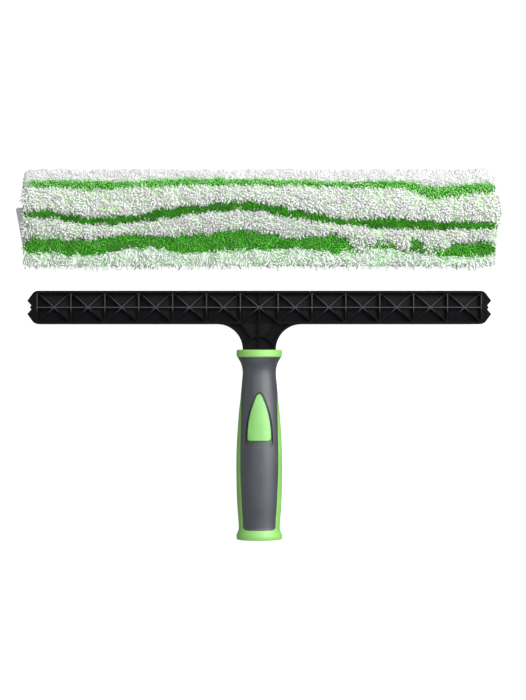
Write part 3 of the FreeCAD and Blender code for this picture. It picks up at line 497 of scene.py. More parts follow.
@dataclass(frozen=True)
class Finish:
    """What a surface is made of. Each kind of finish paints it in its own way."""

    name: str

    def paint(self, shader: Shader) -> None:
        """Sets and joins the inputs of the surface.

        Args:
            shader: The nodes of the material.
        """
        raise NotImplementedError

    def material(self) -> bpy.types.Material:
        """Makes the material.

        Returns:
            The material, under the finish's name.
        """
        shader = Shader(self.name)
        self.paint(shader)
        return shader.material


@dataclass(frozen=True)
class MouldedPlastic(Finish):
    """Moulded plastic: a colour that drifts slightly, a fine grain and scuffs that dull it."""

    colour: Colour
    roughness: float = 0.4
    specular: float = 0.5
    drift: float = 0.08
    grain_size: float = 0.3 * MM
    grain_depth: float = 0.012 * MM
    scuff_size: float = 9.0 * MM

    def body(self, shader: Shader) -> tuple[Wire, Wire, Wire]:
        """The plain moulding.

        Args:
            shader: The nodes of the material.

        Returns:
            Its colour, roughness and normal.
        """
        darker, lighter = (tuple(min(1.0, part * share) for part in self.colour[:3]) + (1.0,)
                           for share in (1 - self.drift, 1 + self.drift))
        colour = shader.colours(shader.mottle(self.scuff_size, 4.0, 0.6), darker, lighter)
        rough = shader.mottle(self.scuff_size / 4, 6.0, 0.7, 0.35, 0.75, self.roughness - 0.05,
                              self.roughness + 0.1, warp=0.4)
        return colour, rough, shader.bump(shader.fine(self.grain_size, 2.0, 0.5), self.grain_depth)

    def paint(self, shader: Shader) -> None:
        """Leaves the moulding plain."""
        colour, rough, normal = self.body(shader)
        shader.finish(specular_ior_level=self.specular, base_color=colour, roughness=rough, normal=normal)


@dataclass(frozen=True)
class RibbedNylon(MouldedPlastic):
    """Black nylon of the ribbed bar: slanting facets in each cell, and a painted highlight on the rib crests
    in the bar's upper half.
    """

    # Painted highlight: the pale colour of the rib crests, where light catches them
    crest_highlight_colour: Colour = srgb(64, 67, 72)
    rim_colour: Colour = srgb(4, 4, 5)
    highlight_fade_width: float = 4.5 * MM
    fibre_size: float = 1.2 * MM
    crest_half: float = 0.22 * MM
    crest_fade: float = 0.25 * MM
    slant_highlight_end: float = 0.7
    slant_fade: float = 0.12
    cells_reach: float = 168.4 * MM
    bar_middle: float = 0.0
    axis_z: float = 0.0
    rib_top: float = 5.3 * MM
    web_top: float = 1.2 * MM
    star_half: float = 14.25 * MM
    cell_pitch: float = 25.56 * MM
    half_height: float = 12.6 * MM
    facet_depth: float = 2.3 * MM

    def cell(self, shader: Shader) -> tuple[Wire, Wire]:
        """Where in its cell a place lies.

        Args:
            shader: The nodes of the material.

        Returns:
            How far across and how far up it lies, 0 in the middle and 1 at the edge.
        """
        x, y, _ = shader.parts(shader.place)
        past_star = abs(x) - self.star_half
        in_cell = abs(shader.math("FRACT", past_star / self.cell_pitch) - 0.5) * 2.0
        across = shader.blend(shader.math("GREATER_THAN", past_star, 0.0), abs(x) / self.star_half, in_cell)
        return across, abs(y - self.bar_middle) / self.half_height

    def crests(self, shader: Shader, across: Wire, along: Wire) -> Wire:
        """The painted highlight along the rib crests, which fades out on a slanting rib near the rim.

        Args:
            shader: The nodes of the material.
            across: How far across its cell a place lies.
            along: How far up it lies.

        Returns:
            1 on a crest and 0 off it.
        """
        half_pitch = self.cell_pitch / 2
        slant = half_pitch * self.half_height / math.hypot(half_pitch, self.half_height)
        past_slant_highlight = shader.remap(along, self.slant_highlight_end, self.slant_highlight_end + self.slant_fade)
        slanting = (past_slant_highlight + abs(across - along)) * slant
        straight = shader.math("MINIMUM", (1.0 - across) * half_pitch, along * self.half_height)
        near = shader.math("MINIMUM", slanting, straight)
        return shader.remap(near, self.crest_half, self.crest_half + self.crest_fade, 1.0, 0.0)

    def paint(self, shader: Shader) -> None:
        """Adds the painted crest highlight and the facets to the plain moulding."""
        colour, rough, normal = self.body(shader)
        x, y, z = shader.parts(shader.place)
        height = abs(z - self.axis_z)
        on_rib = shader.remap(height, self.rib_top - 0.25 * MM, self.rib_top - 0.05 * MM)
        below_rim = shader.remap(height, self.rib_top + 0.1 * MM, self.rib_top + 0.3 * MM, 1.0, 0.0)
        across, along = self.cell(shader)
        fibres = shader.mottle(self.fibre_size, 3.0, 0.6, 0.3, 0.6, 0.6, 1.0, warp=1.5)
        # Painted highlight: the crests are pale only in the bar's upper half, on the side the light comes
        # from, and fade out below its middle
        lit_upper_half = shader.remap(y, self.bar_middle - self.highlight_fade_width, self.bar_middle)
        inside = shader.math("LESS_THAN", abs(x), self.cells_reach)
        crest = on_rib * below_rim * fibres * lit_upper_half * inside * self.crests(shader, across, along)
        colour = shader.colours(crest, shader.colours(on_rib, colour, self.rim_colour), self.crest_highlight_colour)
        web = shader.remap(height, self.web_top + 0.1 * MM, self.web_top + 0.4 * MM, 1.0, 0.0)
        pyramid = shader.math("SUBTRACT", 1.0, shader.math("MAXIMUM", across, along), clamp=True)
        shader.finish(specular_ior_level=self.specular, base_color=colour, roughness=rough,
                      normal=shader.bump(pyramid * web, self.facet_depth, normal))


@dataclass(frozen=True)
class SoftGrip(Finish):
    """Soft-touch grip rubber: matt, finely grained, clouded with dust, with painted shade along its long
    edges.
    """

    colour: Colour
    dust: Colour
    roughness: float = 0.46
    cloud_size: float = 14.0 * MM
    grain_size: float = 0.45 * MM
    grain_depth: float = 0.03 * MM
    edge_shade_from: float = 7.0 * MM
    edge_shade_to: float = 14.0 * MM
    edge_shade: float = 0.22

    def paint(self, shader: Shader) -> None:
        """Clouds the rubber with dust and paints shade along its edges."""
        cloud = shader.fine(self.cloud_size, 5.0, 0.6)
        fine = shader.fine(self.grain_size, 3.0, 0.6)
        colour = shader.colours(shader.remap(cloud, 0.45, 0.8, 0.0, 0.35), self.colour, self.dust)
        # Painted shade: the rubber is darkened towards its long edges, where it turns away from the light
        side = abs(shader.parts(shader.place)[0])
        unshaded = shader.remap(side, self.edge_shade_from, self.edge_shade_to, 1.0, 1.0 - self.edge_shade)
        colour = shader.shaded(colour, unshaded * shader.remap(fine, 0.35, 0.65, 0.93, 1.05))
        rough = shader.remap(cloud, 0.3, 0.7, self.roughness - 0.04, self.roughness + 0.08)
        shader.finish(specular_ior_level=0.85, sheen_weight=0.12, sheen_roughness=0.4, base_color=colour,
                      roughness=rough, normal=shader.bump(fine, self.grain_depth))


@dataclass(frozen=True)
class Steel(Finish):
    """Bright drawn steel with fine drawing marks."""

    bright: Colour = srgb(190, 192, 196)
    dull: Colour = srgb(150, 152, 156)
    mark_size: float = 0.15 * MM
    mark_depth: float = 0.01 * MM

    def paint(self, shader: Shader) -> None:
        """Marks the steel along x."""
        x, y, z = shader.parts(shader.place)
        fine = shader.fine(self.mark_size, 3.0, 0.7, at=shader.vector_of(x * 0.1, y, z))
        shader.finish(metallic=1.0,
                      base_color=shader.colours(shader.remap(fine, 0.3, 0.7), self.bright, self.dull),
                      roughness=shader.remap(fine, 0.3, 0.7, 0.2, 0.38),
                      normal=shader.bump(fine, self.mark_depth))


@dataclass(frozen=True)
class WovenCloth(Finish):
    """Plain woven cloth with threads over and under, read from the piece's own map."""

    colour: Colour
    shade: Colour
    thread: float = 0.55 * MM
    depth: float = 0.16 * MM
    roughness: float = 0.85
    slub_size: float = 3.0 * MM
    worn_size: float = 18.0 * MM

    def paint(self, shader: Shader) -> None:
        """Crosses warp and weft, with uneven threads and worn patches."""
        warp, weft = (shader.math("SINE", way * (math.pi / self.thread))
                      for way in shader.parts(shader.uv())[:2])
        over = shader.math("GREATER_THAN", warp * weft, 0.0)
        weave = shader.math("MAXIMUM", shader.blend(over, abs(warp), abs(weft)), 0.001) ** 0.6
        slub = shader.mottle(self.slub_size, 4.0, 0.6, to_low=0.7, at=shader.uv())
        rough = shader.mottle(self.worn_size, 3.0, 0.5, to_low=self.roughness - 0.06,
                              to_high=self.roughness + 0.08)
        shader.finish(sheen_weight=0.3, sheen_roughness=0.5, specular_ior_level=0.25, roughness=rough,
                      base_color=shader.colours(weave * slub, self.shade, self.colour),
                      normal=shader.bump(weave, self.depth))


@dataclass(frozen=True)
class Yarn(Finish):
    """Microfibre yarn: shaded at the root, bright at the tip, each tuft a little different."""

    root: Colour
    tip: Colour
    tip_other: Colour
    stained: Colour
    patch_shade: float = 0.1
    patch_size: float = 9.0 * MM
    sheen: float = 0.35
    glow_depth: float = 3.0 * MM
    fibre_size: float = 0.3 * MM
    fibre_depth: float = 0.05 * MM

    def paint(self, shader: Shader) -> None:
        """Paints each tuft from root to tip and shades the pile in patches."""
        tip = shader.colours(shader.attribute(TINT), self.tip, self.tip_other)
        tip = shader.colours(shader.attribute(GHOST), tip, self.stained)
        colour = shader.colours(shader.remap(shader.attribute(ALONG), 0.0, 0.5), self.root, tip)
        shade = shader.mottle(self.patch_size, 2.0, 0.5, 0.35, 0.65, 1.0 - self.patch_shade, 1.0)
        shader.finish(sheen_weight=self.sheen, sheen_roughness=0.5, specular_ior_level=0.2, roughness=0.85,
                      subsurface_weight=1.0, subsurface_radius=(1.0, 1.0, 1.0),
                      subsurface_scale=self.glow_depth, base_color=shader.shaded(colour, shade),
                      normal=shader.bump(shader.fine(self.fibre_size, 2.0, 0.6), self.fibre_depth))


@dataclass(frozen=True)
class Thread(Finish):
    """Twisted thread."""

    colour: Colour
    twist: float = 0.35 * MM
    twist_depth: float = 0.02 * MM

    def paint(self, shader: Shader) -> None:
        """Twists the strands, each stitch a little lighter or darker."""
        x, y, z = shader.parts(shader.place)
        strands = shader.math("SINE", (x + y + z) * (2 * math.pi / self.twist))
        tint = shader.remap(shader.attribute(TINT), 0.0, 1.0, 0.9, 1.0)
        shader.finish(roughness=0.7, specular_ior_level=0.3, sheen_weight=0.2,
                      base_color=shader.shaded(self.colour, tint),
                      normal=shader.bump(strands, self.twist_depth))


@dataclass(frozen=True)
class PileGround(Finish):
    """The felted foot of the pile between the tufts."""

    light: Colour
    dark: Colour
    felt_size: float = 0.9 * MM
    felt_depth: float = 0.4 * MM

    def paint(self, shader: Shader) -> None:
        """Mats the felt in light and dark."""
        felt = shader.fine(self.felt_size, 4.0, 0.65, warp=0.6)
        shader.finish(roughness=0.95, specular_ior_level=0.1, sheen_weight=0.3,
                      base_color=shader.colours(shader.remap(felt, 0.35, 0.65), self.dark, self.light),
                      normal=shader.bump(felt, self.felt_depth))


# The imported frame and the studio


class PackedFrame:
    """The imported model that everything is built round."""

    EDGE_INSET = 0.05 * MM
    RAY_START = 1.0

    def __init__(self) -> None:
        """Loads it."""
        self.nodes: dict[str, bpy.types.Object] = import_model()["nodes"]
        self._trees: dict[str, BVHTree] = {}

    def span(self, node: str, axis: int) -> tuple[float, float]:
        """Lowest and highest place of a node along an axis, 0 for x, 1 for y and 2 for z."""
        low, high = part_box(node)
        return low[axis], high[axis]

    def edge(self, node: str, x: float, z: float, upper: bool) -> float:
        """Where the upper or lower edge of a node lies.

        Args:
            node: The node's name.
            x: Place along the bar.
            z: Height at which the edge is met.
            upper: True for the edge with the larger y.

        Returns:
            The y of the edge.
        """
        if node not in self._trees:
            mesh = self.nodes[node].data
            self._trees[node] = BVHTree.FromPolygons([v.co for v in mesh.vertices],
                                                     [p.vertices for p in mesh.polygons])
        low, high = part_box(node)
        start = high[1] + self.RAY_START if upper else low[1] - self.RAY_START
        held = min(max(x, low[0] + self.EDGE_INSET), high[0] - self.EDGE_INSET)
        hit = self._trees[node].ray_cast(Vector((held, start, z)), Vector((0, -1 if upper else 1, 0)))[0]
        if hit is None:
            raise ValueError(f"{node} has no edge at x = {x}")
        return hit.y

    def dress(self, node: str, material: bpy.types.Material, slot: str) -> None:
        """Gives a node that stays its looks.

        Args:
            node: The node's name.
            material: Its material.
            slot: Not used.
        """
        piece = self.nodes[node]
        if not piece.material_slots:
            piece.data.materials.append(material)
        for place in piece.material_slots:
            place.material = material
        LOG.info("dressed %s in %s", node, material.name)


@dataclass(frozen=True)
class Lamp:
    """A soft square light that faces a place, in metres and watts."""

    name: str
    place: tuple[float, float, float]
    aim: tuple[float, float, float]
    width: float
    power: float

    def hang(self) -> None:
        """Hangs it, out of the camera's sight."""
        light = bpy.data.lights.new(self.name, "AREA")
        light.size = self.width
        light.energy = self.power
        lamp = link(self.name, light)
        lamp.visible_camera = False
        lamp.location = self.place
        lamp.rotation_euler = (Vector(self.aim) - lamp.location).to_track_quat("-Z", "Y").to_euler()


@dataclass
class Studio:
    """A pale glowing floor, soft light from the far right and a camera straight above."""

    camera_place: tuple[float, float, float] = (2.8 * MM, 2.4 * MM, 1.488)
    lens: float = 100.0
    sight: float = 20.0
    floor_size: float = 60.0
    floor_drop: float = 0.3 * MM
    floor_glow: float = 0.92
    floor_spots: float = 1 / 3
    floor_greys: tuple[float, float] = (0.3, 0.32)
    dome_radius: float = 12.0
    world_strength: float = 0.24
    lamps: tuple[Lamp, ...] = (
        Lamp("key", (1.26, 0.67, 1.26), (0.0, 0.0, 0.0), 1.5, 52.0),
        Lamp("pile", (0.0, 0.4, 0.7), (0.0, 0.1, 0.0), 0.9, 4.6),
        Lamp("front_fill", (0.0, -1.5, 0.2), (0.0, 0.0, 0.0), 1.0, 10.0),
        Lamp("left_fill", (-1.5, 0.0, 0.2), (0.0, 0.0, 0.0), 1.0, 2.0))

    WHITE = (1.0, 1.0, 1.0, 1.0)

    def build(self) -> None:
        """Makes the floor, the lights and the camera."""
        self._floor()
        self._dome()
        world = bpy.data.worlds.new("studio")
        world.use_nodes = True
        background = next(n for n in world.node_tree.nodes if n.type == "BACKGROUND")
        background.inputs["Color"].default_value = self.WHITE
        background.inputs["Strength"].default_value = self.world_strength
        bpy.context.scene.world = world
        for lamp in self.lamps:
            lamp.hang()
        camera = link("camera", bpy.data.cameras.new("camera"))
        camera.data.lens = self.lens
        camera.data.clip_end = self.sight
        camera.location = self.camera_place
        bpy.context.scene.camera = camera
        bpy.context.scene.view_settings.view_transform = "Standard"
        LOG.info("studio ready")

    def _floor(self) -> bpy.types.Object:
        """A large pale floor under the object.

        Returns:
            The floor.
        """
        half, low = self.floor_size / 2, -self.floor_drop
        shader = Shader("pale_floor", roughness=0.9, specular_ior_level=0.1, emission_color=self.WHITE,
                        emission_strength=self.floor_glow)
        darker, lighter = ((grey, grey, grey, 1.0) for grey in self.floor_greys)
        colour = shader.colours(shader.mottle(self.floor_spots, 3.0, 0.5), darker, lighter)
        corners = [Vector((x, y, low))
                   for x, y in ((-half, -half), (half, -half), (half, half), (-half, half))]
        floor = add_object("floor", corners, [(0, 1, 2, 3)], shader.finish(base_color=colour))
        floor.visible_glossy = floor.visible_diffuse = False
        return floor

    def _dome(self) -> bpy.types.Object:
        """A white surround behind the floor's horizon, which gives no light.

        Returns:
            The surround.
        """
        work = bmesh.new()
        bmesh.ops.create_icosphere(work, subdivisions=3, radius=self.dome_radius)
        mesh = bpy.data.meshes.new("dome")
        work.to_mesh(mesh)
        work.free()
        glow = Shader("pale_surround", base_color=(0.0, 0.0, 0.0, 1.0), specular_ior_level=0.0,
                      emission_color=self.WHITE, emission_strength=1.0)
        mesh.materials.append(glow.material)
        dome = link("dome", mesh)
        dome.visible_diffuse = dome.visible_glossy = dome.visible_transmission = dome.visible_shadow = False
        return dome


# The handle and the bar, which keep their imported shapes


@dataclass
class Frame:
    """T-bar, collar, handle and button, each in its own finish."""

    packed: PackedFrame
    button_turn: float = math.radians(4.5)
    spring_room: float = 0.25 * MM

    def build(self) -> None:
        """Dresses every rigid node."""
        nylon = RibbedNylon("black_nylon", srgb(13, 14, 16), 0.5, 0.09,
                            axis_z=sum(self.packed.span("t_bar", 2)) / 2,
                            bar_middle=self.packed.span("t_bar", 1)[1] - RibbedNylon.half_height)
        green = MouldedPlastic("green_plastic", srgb(126, 188, 89), 0.52, 1.0, grain_depth=0.006 * MM)
        pale = MouldedPlastic("button_plastic", srgb(118, 182, 91), 0.5, 1.0, grain_depth=0.006 * MM)
        rubber = SoftGrip("grey_soft_grip", srgb(53, 58, 64), srgb(68, 73, 79))
        pins = ("lock_plunger", "tang_pin", "lever_pivot_pin", "return_spring")
        for finish, nodes in ((nylon, ("t_bar",)), (green, ("handle_core", "neck_collar")),
                              (rubber, ("grip_overmould",)), (pale, ("release_button",)),
                              (Steel("pin_steel"), pins)):
            material = finish.material()
            for node in nodes:
                self.packed.dress(node, material, finish.name)
        self._press_spring()

    def _press_spring(self) -> None:
        """Works out how far the return spring would shorten as the button comes down on it and gives the
        spring a mesh of its own; the shortening is not applied.
        """
        foot, top = self.packed.span("return_spring", 2)
        spring_y = sum(self.packed.span("return_spring", 1)) / 2
        pivot_y = sum(self.packed.span("lever_pivot_pin", 1)) / 2
        pressed = abs(spring_y - pivot_y) * math.sin(self.button_turn) + self.spring_room
        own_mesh(self.packed.nodes["return_spring"], "button_press", (0, 0, 1), (0, spring_y, foot),
                  1 - pressed / (top - foot))


# The sleeve's form and the trees that grow on it


class Side(Enum):
    """The two faces of the sleeve: the one seen from above and the one that lies on the floor."""

    FRONT = "front"
    BACK = "back"


@dataclass(frozen=True)
class SleeveForm:
    """The sleeve's section: two flat faces joined by a half-round fold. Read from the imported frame."""

    axis_z: float
    fold_y: float
    cloth: float
    white: float
    bottom: float
    cloth_bottom: float
    cloth_reach: float
    pile_reach: float

    @classmethod
    def read(cls, packed: PackedFrame) -> SleeveForm:
        """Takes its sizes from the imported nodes.

        Args:
            packed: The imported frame.

        Returns:
            The form.
        """
        low, high = packed.span("top_white_band", 2)
        cloth_low, cloth_high = packed.span("sleeve_backing", 2)
        white = (high - low) / 2
        return cls(axis_z=(low + high) / 2, fold_y=packed.span("top_white_band", 1)[1] - white,
                   cloth=(cloth_high - cloth_low) / 2, white=white, bottom=packed.span("front_hem", 1)[0],
                   cloth_bottom=packed.span("sleeve_backing", 1)[0],
                   cloth_reach=packed.span("sleeve_backing", 0)[1],
                   pile_reach=packed.span("top_white_band", 0)[1])

    @property
    def half_turn(self) -> float:
        """Length of the fold round its outside."""
        return math.pi * self.white

    def run(self, y: float, side: Side) -> float:
        """How far round the section a place lies: below 0 on the front, past the half turn on the back."""
        above = y - self.fold_y
        run = above if above < 0 else self.white * math.asin(min(1.0, above / self.white))
        return run if side is Side.FRONT else self.half_turn - run

    def place(self, x: float, run: float, height: float) -> Vector:
        """A point of the sleeve.

        Args:
            x: Place along the bar.
            run: How far round the section it lies.
            height: Height over the cloth.

        Returns:
            The point.
        """
        radius = self.cloth + height
        if run < 0:
            return Vector((x, self.fold_y + run, self.axis_z + radius))
        if run > self.half_turn:
            return Vector((x, self.fold_y - (run - self.half_turn), self.axis_z - radius))
        angle = run / self.white
        return Vector((x, self.fold_y + radius * math.sin(angle), self.axis_z + radius * math.cos(angle)))

    def cloth_way(self, run: float) -> float:
        """The same way round, measured along the cloth."""
        held = min(max(run, 0.0), self.half_turn)
        return run - held + held * self.cloth / self.white


class PileTree(GrowingTree):
    """Tufts of bent yarn on the faces that are marked to grow them."""

    BENDS = (0.1, 0.55, 1.0)
    ROOT_SHARE = -0.15
    KNEE_SHARE = 0.6
    TIP_SHARE = 0.6
    CROWDING = 2.5
    THINNEST = 0.35
    GAPS_TO_CLUMP = 2.2
    PATCHES_TO_CLUMP = 0.8
    LEAN_GAIN = 4.0
    WIDTHS = (0.8, 1.2)
    LENGTHS = (0.75, 1.15)
    PUFFS = (0.8, 1.15)

    def __init__(self) -> None:
        """Builds the tree."""
        super().__init__("pile_tufts")
        spacing, length, radius, bend, scatter = self.named("Spacing", "Length", "Radius", "Bend", "Scatter")
        clump_size, clump_lean = self.named("Clump Size", "Clump Lean")
        share, floor = self.named("Stained Share", "Floor")
        seed, sides, lengths = self.named("Seed", "Sides", "Steps", kind=SocketKind.COUNT)
        droop, = self.named("Droop", kind=SocketKind.VECTOR)
        material, = self.named("Material", kind=SocketKind.MATERIAL)

        gaps, patches = (Wire(self, self.noise(waves / clump_size, 1.0).outputs["Fac"])
                         for waves in (self.GAPS_TO_CLUMP, self.PATCHES_TO_CLUMP))
        spread = self.node("GeometryNodeDistributePointsOnFaces",
                           {"Mesh": self.source, "Selection": self.stored(GROWS, "BOOLEAN"),
                            "Distance Min": spacing, "Density Max": self.CROWDING / (spacing * spacing),
                            "Density Factor": self.remap(gaps, 0.32, 0.5, self.THINNEST), "Seed": seed},
                           distribute_method="POISSON")
        clumps = self.noise(1.0 / clump_size, 1.0)
        lean = (Wire(self, clumps.outputs["Color"]) - (0.5, 0.5, 0.5)) * (clump_lean * self.LEAN_GAIN)
        heading = Wire(self, spread.outputs["Normal"]) + lean + self.random_vector(scatter, seed) + droop
        turned = self.spun(self.facing(heading), self.random(0.0, math.tau, 11))
        wide = self.random(*self.WIDTHS, 12)
        puff = self.remap(Wire(self, clumps.outputs["Fac"]), 0.35, 0.65, *self.PUFFS)
        size = self.vector_of(wide, wide, self.random(*self.LENGTHS, 13) * puff)

        kinds = []
        for bend_share in self.BENDS:
            bent = (self.vector_of(z=length * self.ROOT_SHARE), self.vector_of(z=length * self.KNEE_SHARE),
                    self.vector_of(bend * bend_share * length, z=length))
            yarn = self.yarn(bent, radius, sides, lengths, self.TIP_SHARE)
            kinds.append(self.wire("GeometryNodeGeometryToInstance", {"Geometry": yarn}))
        pick = self.wire("FunctionNodeRandomValue", {4: 0, 5: len(self.BENDS) - 1, "Seed": 14}, 2,
                         data_type="INT")
        tufts = self.copies(Wire(self, spread.outputs["Points"]), self.joined(kinds), turned,
                            {"Pick Instance": True, "Instance Index": pick, "Scale": size})
        tufts = self.store(tufts, TINT, self.random(0.0, 1.0, 15), "INSTANCE")
        limit = share * self.remap(patches, 0.4, 0.6, 0.0, 2.0)
        stained = self.math("LESS_THAN", self.random(0.0, 1.0, 16), limit)
        pile = self.dressed(self.store(tufts, GHOST, stained, "INSTANCE"), material)
        x, y, z = self.parts(self.wire("GeometryNodeInputPosition"))
        pressed = self.vector_of(x, y, self.math("MAXIMUM", z, floor))
        self.close(self.source, self.wire("GeometryNodeSetPosition", {"Geometry": pile, "Position": pressed}))


class StitchTree(GrowingTree):
    """Stitches along lines."""

    SIDES = 6
    LENGTHS = 5
    WANDER = 0.06
    ARCH_SHARE = 0.6
    TIP_SHARE = 0.55

    def __init__(self) -> None:
        """Builds the tree."""
        super().__init__("stitches")
        pitch, length, radius = self.named("Pitch", "Length", "Radius")
        seed, = self.named("Seed", kind=SocketKind.COUNT)
        material, = self.named("Material", kind=SocketKind.MATERIAL)
        line = self.wire("GeometryNodeMeshToCurve", {"Mesh": self.source})
        line = self.wire("GeometryNodeResampleCurve", {"Curve": line, "Length": pitch}, mode="LENGTH")
        heading = self.wire("GeometryNodeInputTangent") + self.random_vector(self.WANDER, seed)
        bent = (self.vector_of(length * -0.5), self.vector_of(z=radius * self.ARCH_SHARE),
                self.vector_of(length * 0.5))
        thread = self.yarn(bent, radius, self.SIDES, self.LENGTHS, self.TIP_SHARE)
        stitched = self.copies(line, thread, self.facing(heading, "X"))
        stitched = self.store(stitched, TINT, self.random(0.0, 1.0, seed), "INSTANCE")
        self.close(self.dressed(stitched, material))


class FastenerTree(GrowingTree):
    """Bent filaments in rows on a tape: stiff hooks, or soft loops that lie every way."""

    SIDES = 4
    LENGTHS = 4
    CURL = 1.7
    TIP_SHARE = 0.8

    def __init__(self) -> None:
        """Builds the tree."""
        super().__init__("fastener_filaments")
        height, reach, radius = self.named("Height", "Reach", "Radius")
        tip_height, turn, jitter = self.named("Tip Height", "Turn", "Jitter")
        seed, = self.named("Seed", kind=SocketKind.COUNT)
        material, = self.named("Material", kind=SocketKind.MATERIAL)
        feet = self.wire("GeometryNodeMeshToPoints", {"Mesh": self.source})
        moved = self.random_vector(jitter, 21)
        feet = self.wire("GeometryNodeSetPosition", {"Geometry": feet, "Offset": moved})
        outward = self.facing(self.stored(OUTWARD, "FLOAT_VECTOR"))
        turned = self.spun(outward, self.random(-1.0, 1.0, seed) * turn)
        bent = (self.vector_of(), self.vector_of(z=height * self.CURL), self.vector_of(reach, z=tip_height))
        filament = self.yarn(bent, radius, self.SIDES, self.LENGTHS, self.TIP_SHARE)
        self.close(self.dressed(self.copies(feet, filament, turned), material))


# The pile


@dataclass(frozen=True)
class TuftStyle:
    """How one kind of pile stands."""

    length: float
    radius: float
    spacing: float
    bend: float
    scatter: float
    clump_lean: float
    sides: int
    lengths: int
    pad_edge: float
    pad_crown: float
    stained_share: float = 0.04
    droop: float = 0.3


@dataclass(frozen=True)
class Fibre:
    """What one kind of pile is made of: the yarn of its tufts, the ground under them and their slot."""

    yarn: bpy.types.Material
    ground: bpy.types.Material
    slot: str


@dataclass
class Pile:
    """White bands and green stripes of pile, front and back, each grown on a low pad of its own."""

    packed: PackedFrame
    form: SleeveForm
    tree: PileTree
    column_step: float = 3.0 * MM
    end_step: float = 1.0 * MM
    rows: int = 10
    overhang: float = 3.2 * MM
    end_length: float = 9.0 * MM
    end_wave: float = 1.4 * MM
    end_wave_size: float = 9.0 * MM
    end_soft_length: float = 6.0 * MM
    right_bulge: float = 5.2 * MM
    right_bulge_y: float = 106.0 * MM
    right_bulge_half: float = 12.0 * MM
    left_corner: float = 1.6 * MM
    right_corner: float = 3.6 * MM
    corner_start: float = 2.0 * MM
    corner_length: float = 10.0 * MM
    foot_cut: float = 1.4 * MM
    foot_length: float = 14.0 * MM
    taper: float = 0.85
    taper_length: float = 5.0 * MM
    puff_height: float = 1.1 * MM
    puff_size: float = 9.0 * MM
    edge_height: float = 10.0 * MM
    clump_size: float = 8.0 * MM
    ragged: float = 2.1 * MM
    ragged_size: float = 7.0 * MM
    # How far each stripe's upper edge is let up and its lower edge down, from the top stripe
    leanings: tuple[tuple[float, float], ...] = (
        (1.1 * MM, 1.1 * MM), (-0.5 * MM, 1.1 * MM), (0.8 * MM, 1.1 * MM))
    foot_wave: float = 1.1 * MM
    foot_wave_size: float = 13.0 * MM
    front_foot: float = -0.3 * MM
    back_foot: float = 1.8 * MM
    white: TuftStyle = TuftStyle(2.7 * MM, 0.7 * MM, 1.08 * MM, 0.42, 0.55, 0.75, 5, 3, 0.9 * MM, 2.8 * MM)
    top: TuftStyle = TuftStyle(2.3 * MM, 0.55 * MM, 0.85 * MM, 0.3, 0.3, 0.35, 4, 2, 0.9 * MM, 2.6 * MM,
                               stained_share=0.0, droop=0.0)
    lowest: TuftStyle = TuftStyle(3.8 * MM, 0.56 * MM, 1.05 * MM, 0.5, 0.5, 0.8, 5, 3, 0.9 * MM, 1.0 * MM,
                                  stained_share=0.16)
    green: TuftStyle = TuftStyle(2.3 * MM, 0.42 * MM, 0.85 * MM, 0.3, 0.4, 0.4, 4, 1, 1.5 * MM, 0.6 * MM,
                                 stained_share=0.0)
    # White tufts that lie over the lower green stripe: middle, half width and share of the stripe hidden
    spills: tuple[tuple[float, float, float], ...] = (
        (78.5 * MM, 12.0 * MM, 1.0), (96.5 * MM, 8.5 * MM, 0.6), (108.5 * MM, 5.5 * MM, 1.0),
        (128.0 * MM, 5.0 * MM, 1.0), (137.0 * MM, 8.0 * MM, 0.7))
    front_droop: float = 0.65
    faded_share: float = 0.2
    lift: float = 0.1 * MM
    lift_below: float = 0.8 * MM
    least_height: float = 0.3 * MM
    floor_gap: float = 0.1 * MM
    front_give: float = 0.84
    back_give: float = 0.93
    seed: int = 3
    columns: list[float] = field(default_factory=list)

    STRIPES = ("upper", "middle", "lower")
    WHOLE = (0.0, 1.0)

    def _whites(self) -> dict[str, Fibre]:
        """Makes the white fibres: of the top band, of the two bands between the stripes and of the lowest.
        The top band's copy is painted paler as if lit, the middle band's darker as painted shade.
        """
        # Painted light: the top band's yarn and ground are painted paler, as if lit on the fold
        top = Yarn("top_white_pile", srgb(232, 236, 230), srgb(247, 247, 247), srgb(241, 239, 242),
                   srgb(230, 240, 226))
        white = Yarn("white_pile", srgb(202, 224, 190), srgb(240, 238, 241), srgb(228, 222, 230),
                     srgb(190, 226, 176))
        # Painted shade: the middle band's copy of the white yarn is painted darker, as if the band lay in
        # shade
        shaded_white = Yarn("shaded_white_pile", srgb(188, 211, 178), srgb(228, 227, 229), srgb(214, 209, 217),
                      srgb(178, 214, 164), patch_shade=0.18, patch_size=20.0 * MM)
        lowest = Yarn("lowest_white_pile", srgb(202, 228, 200), srgb(240, 247, 240), srgb(230, 241, 229),
                      srgb(172, 226, 164))
        top_ground = PileGround("top_pile_ground", srgb(216, 222, 215), srgb(196, 208, 194)).material()
        # The white bands' ground is darker green: partly its own green, partly painted shade between the
        # tufts
        ground = PileGround("white_pile_ground", srgb(200, 222, 190), srgb(146, 188, 130)).material()
        lowest_ground = PileGround("lowest_pile_ground", srgb(210, 230, 207), srgb(182, 214, 178)).material()
        rows = {"top": (top, top_ground), "upper": (white, ground), "middle": (shaded_white, ground),
                "lower": (lowest, lowest_ground)}
        return {band: Fibre(yarn.material(), under, "white_pile") for band, (yarn, under) in rows.items()}

    def _greens(self) -> dict[str, Fibre]:
        """Makes the green fibre of each stripe, brightest near the fold: lit and shaded copies of one green,
        the upper stripe's painted lighter as if lit and the middle stripe's darker as painted shade.
        """
        faded = srgb(146, 228, 112)
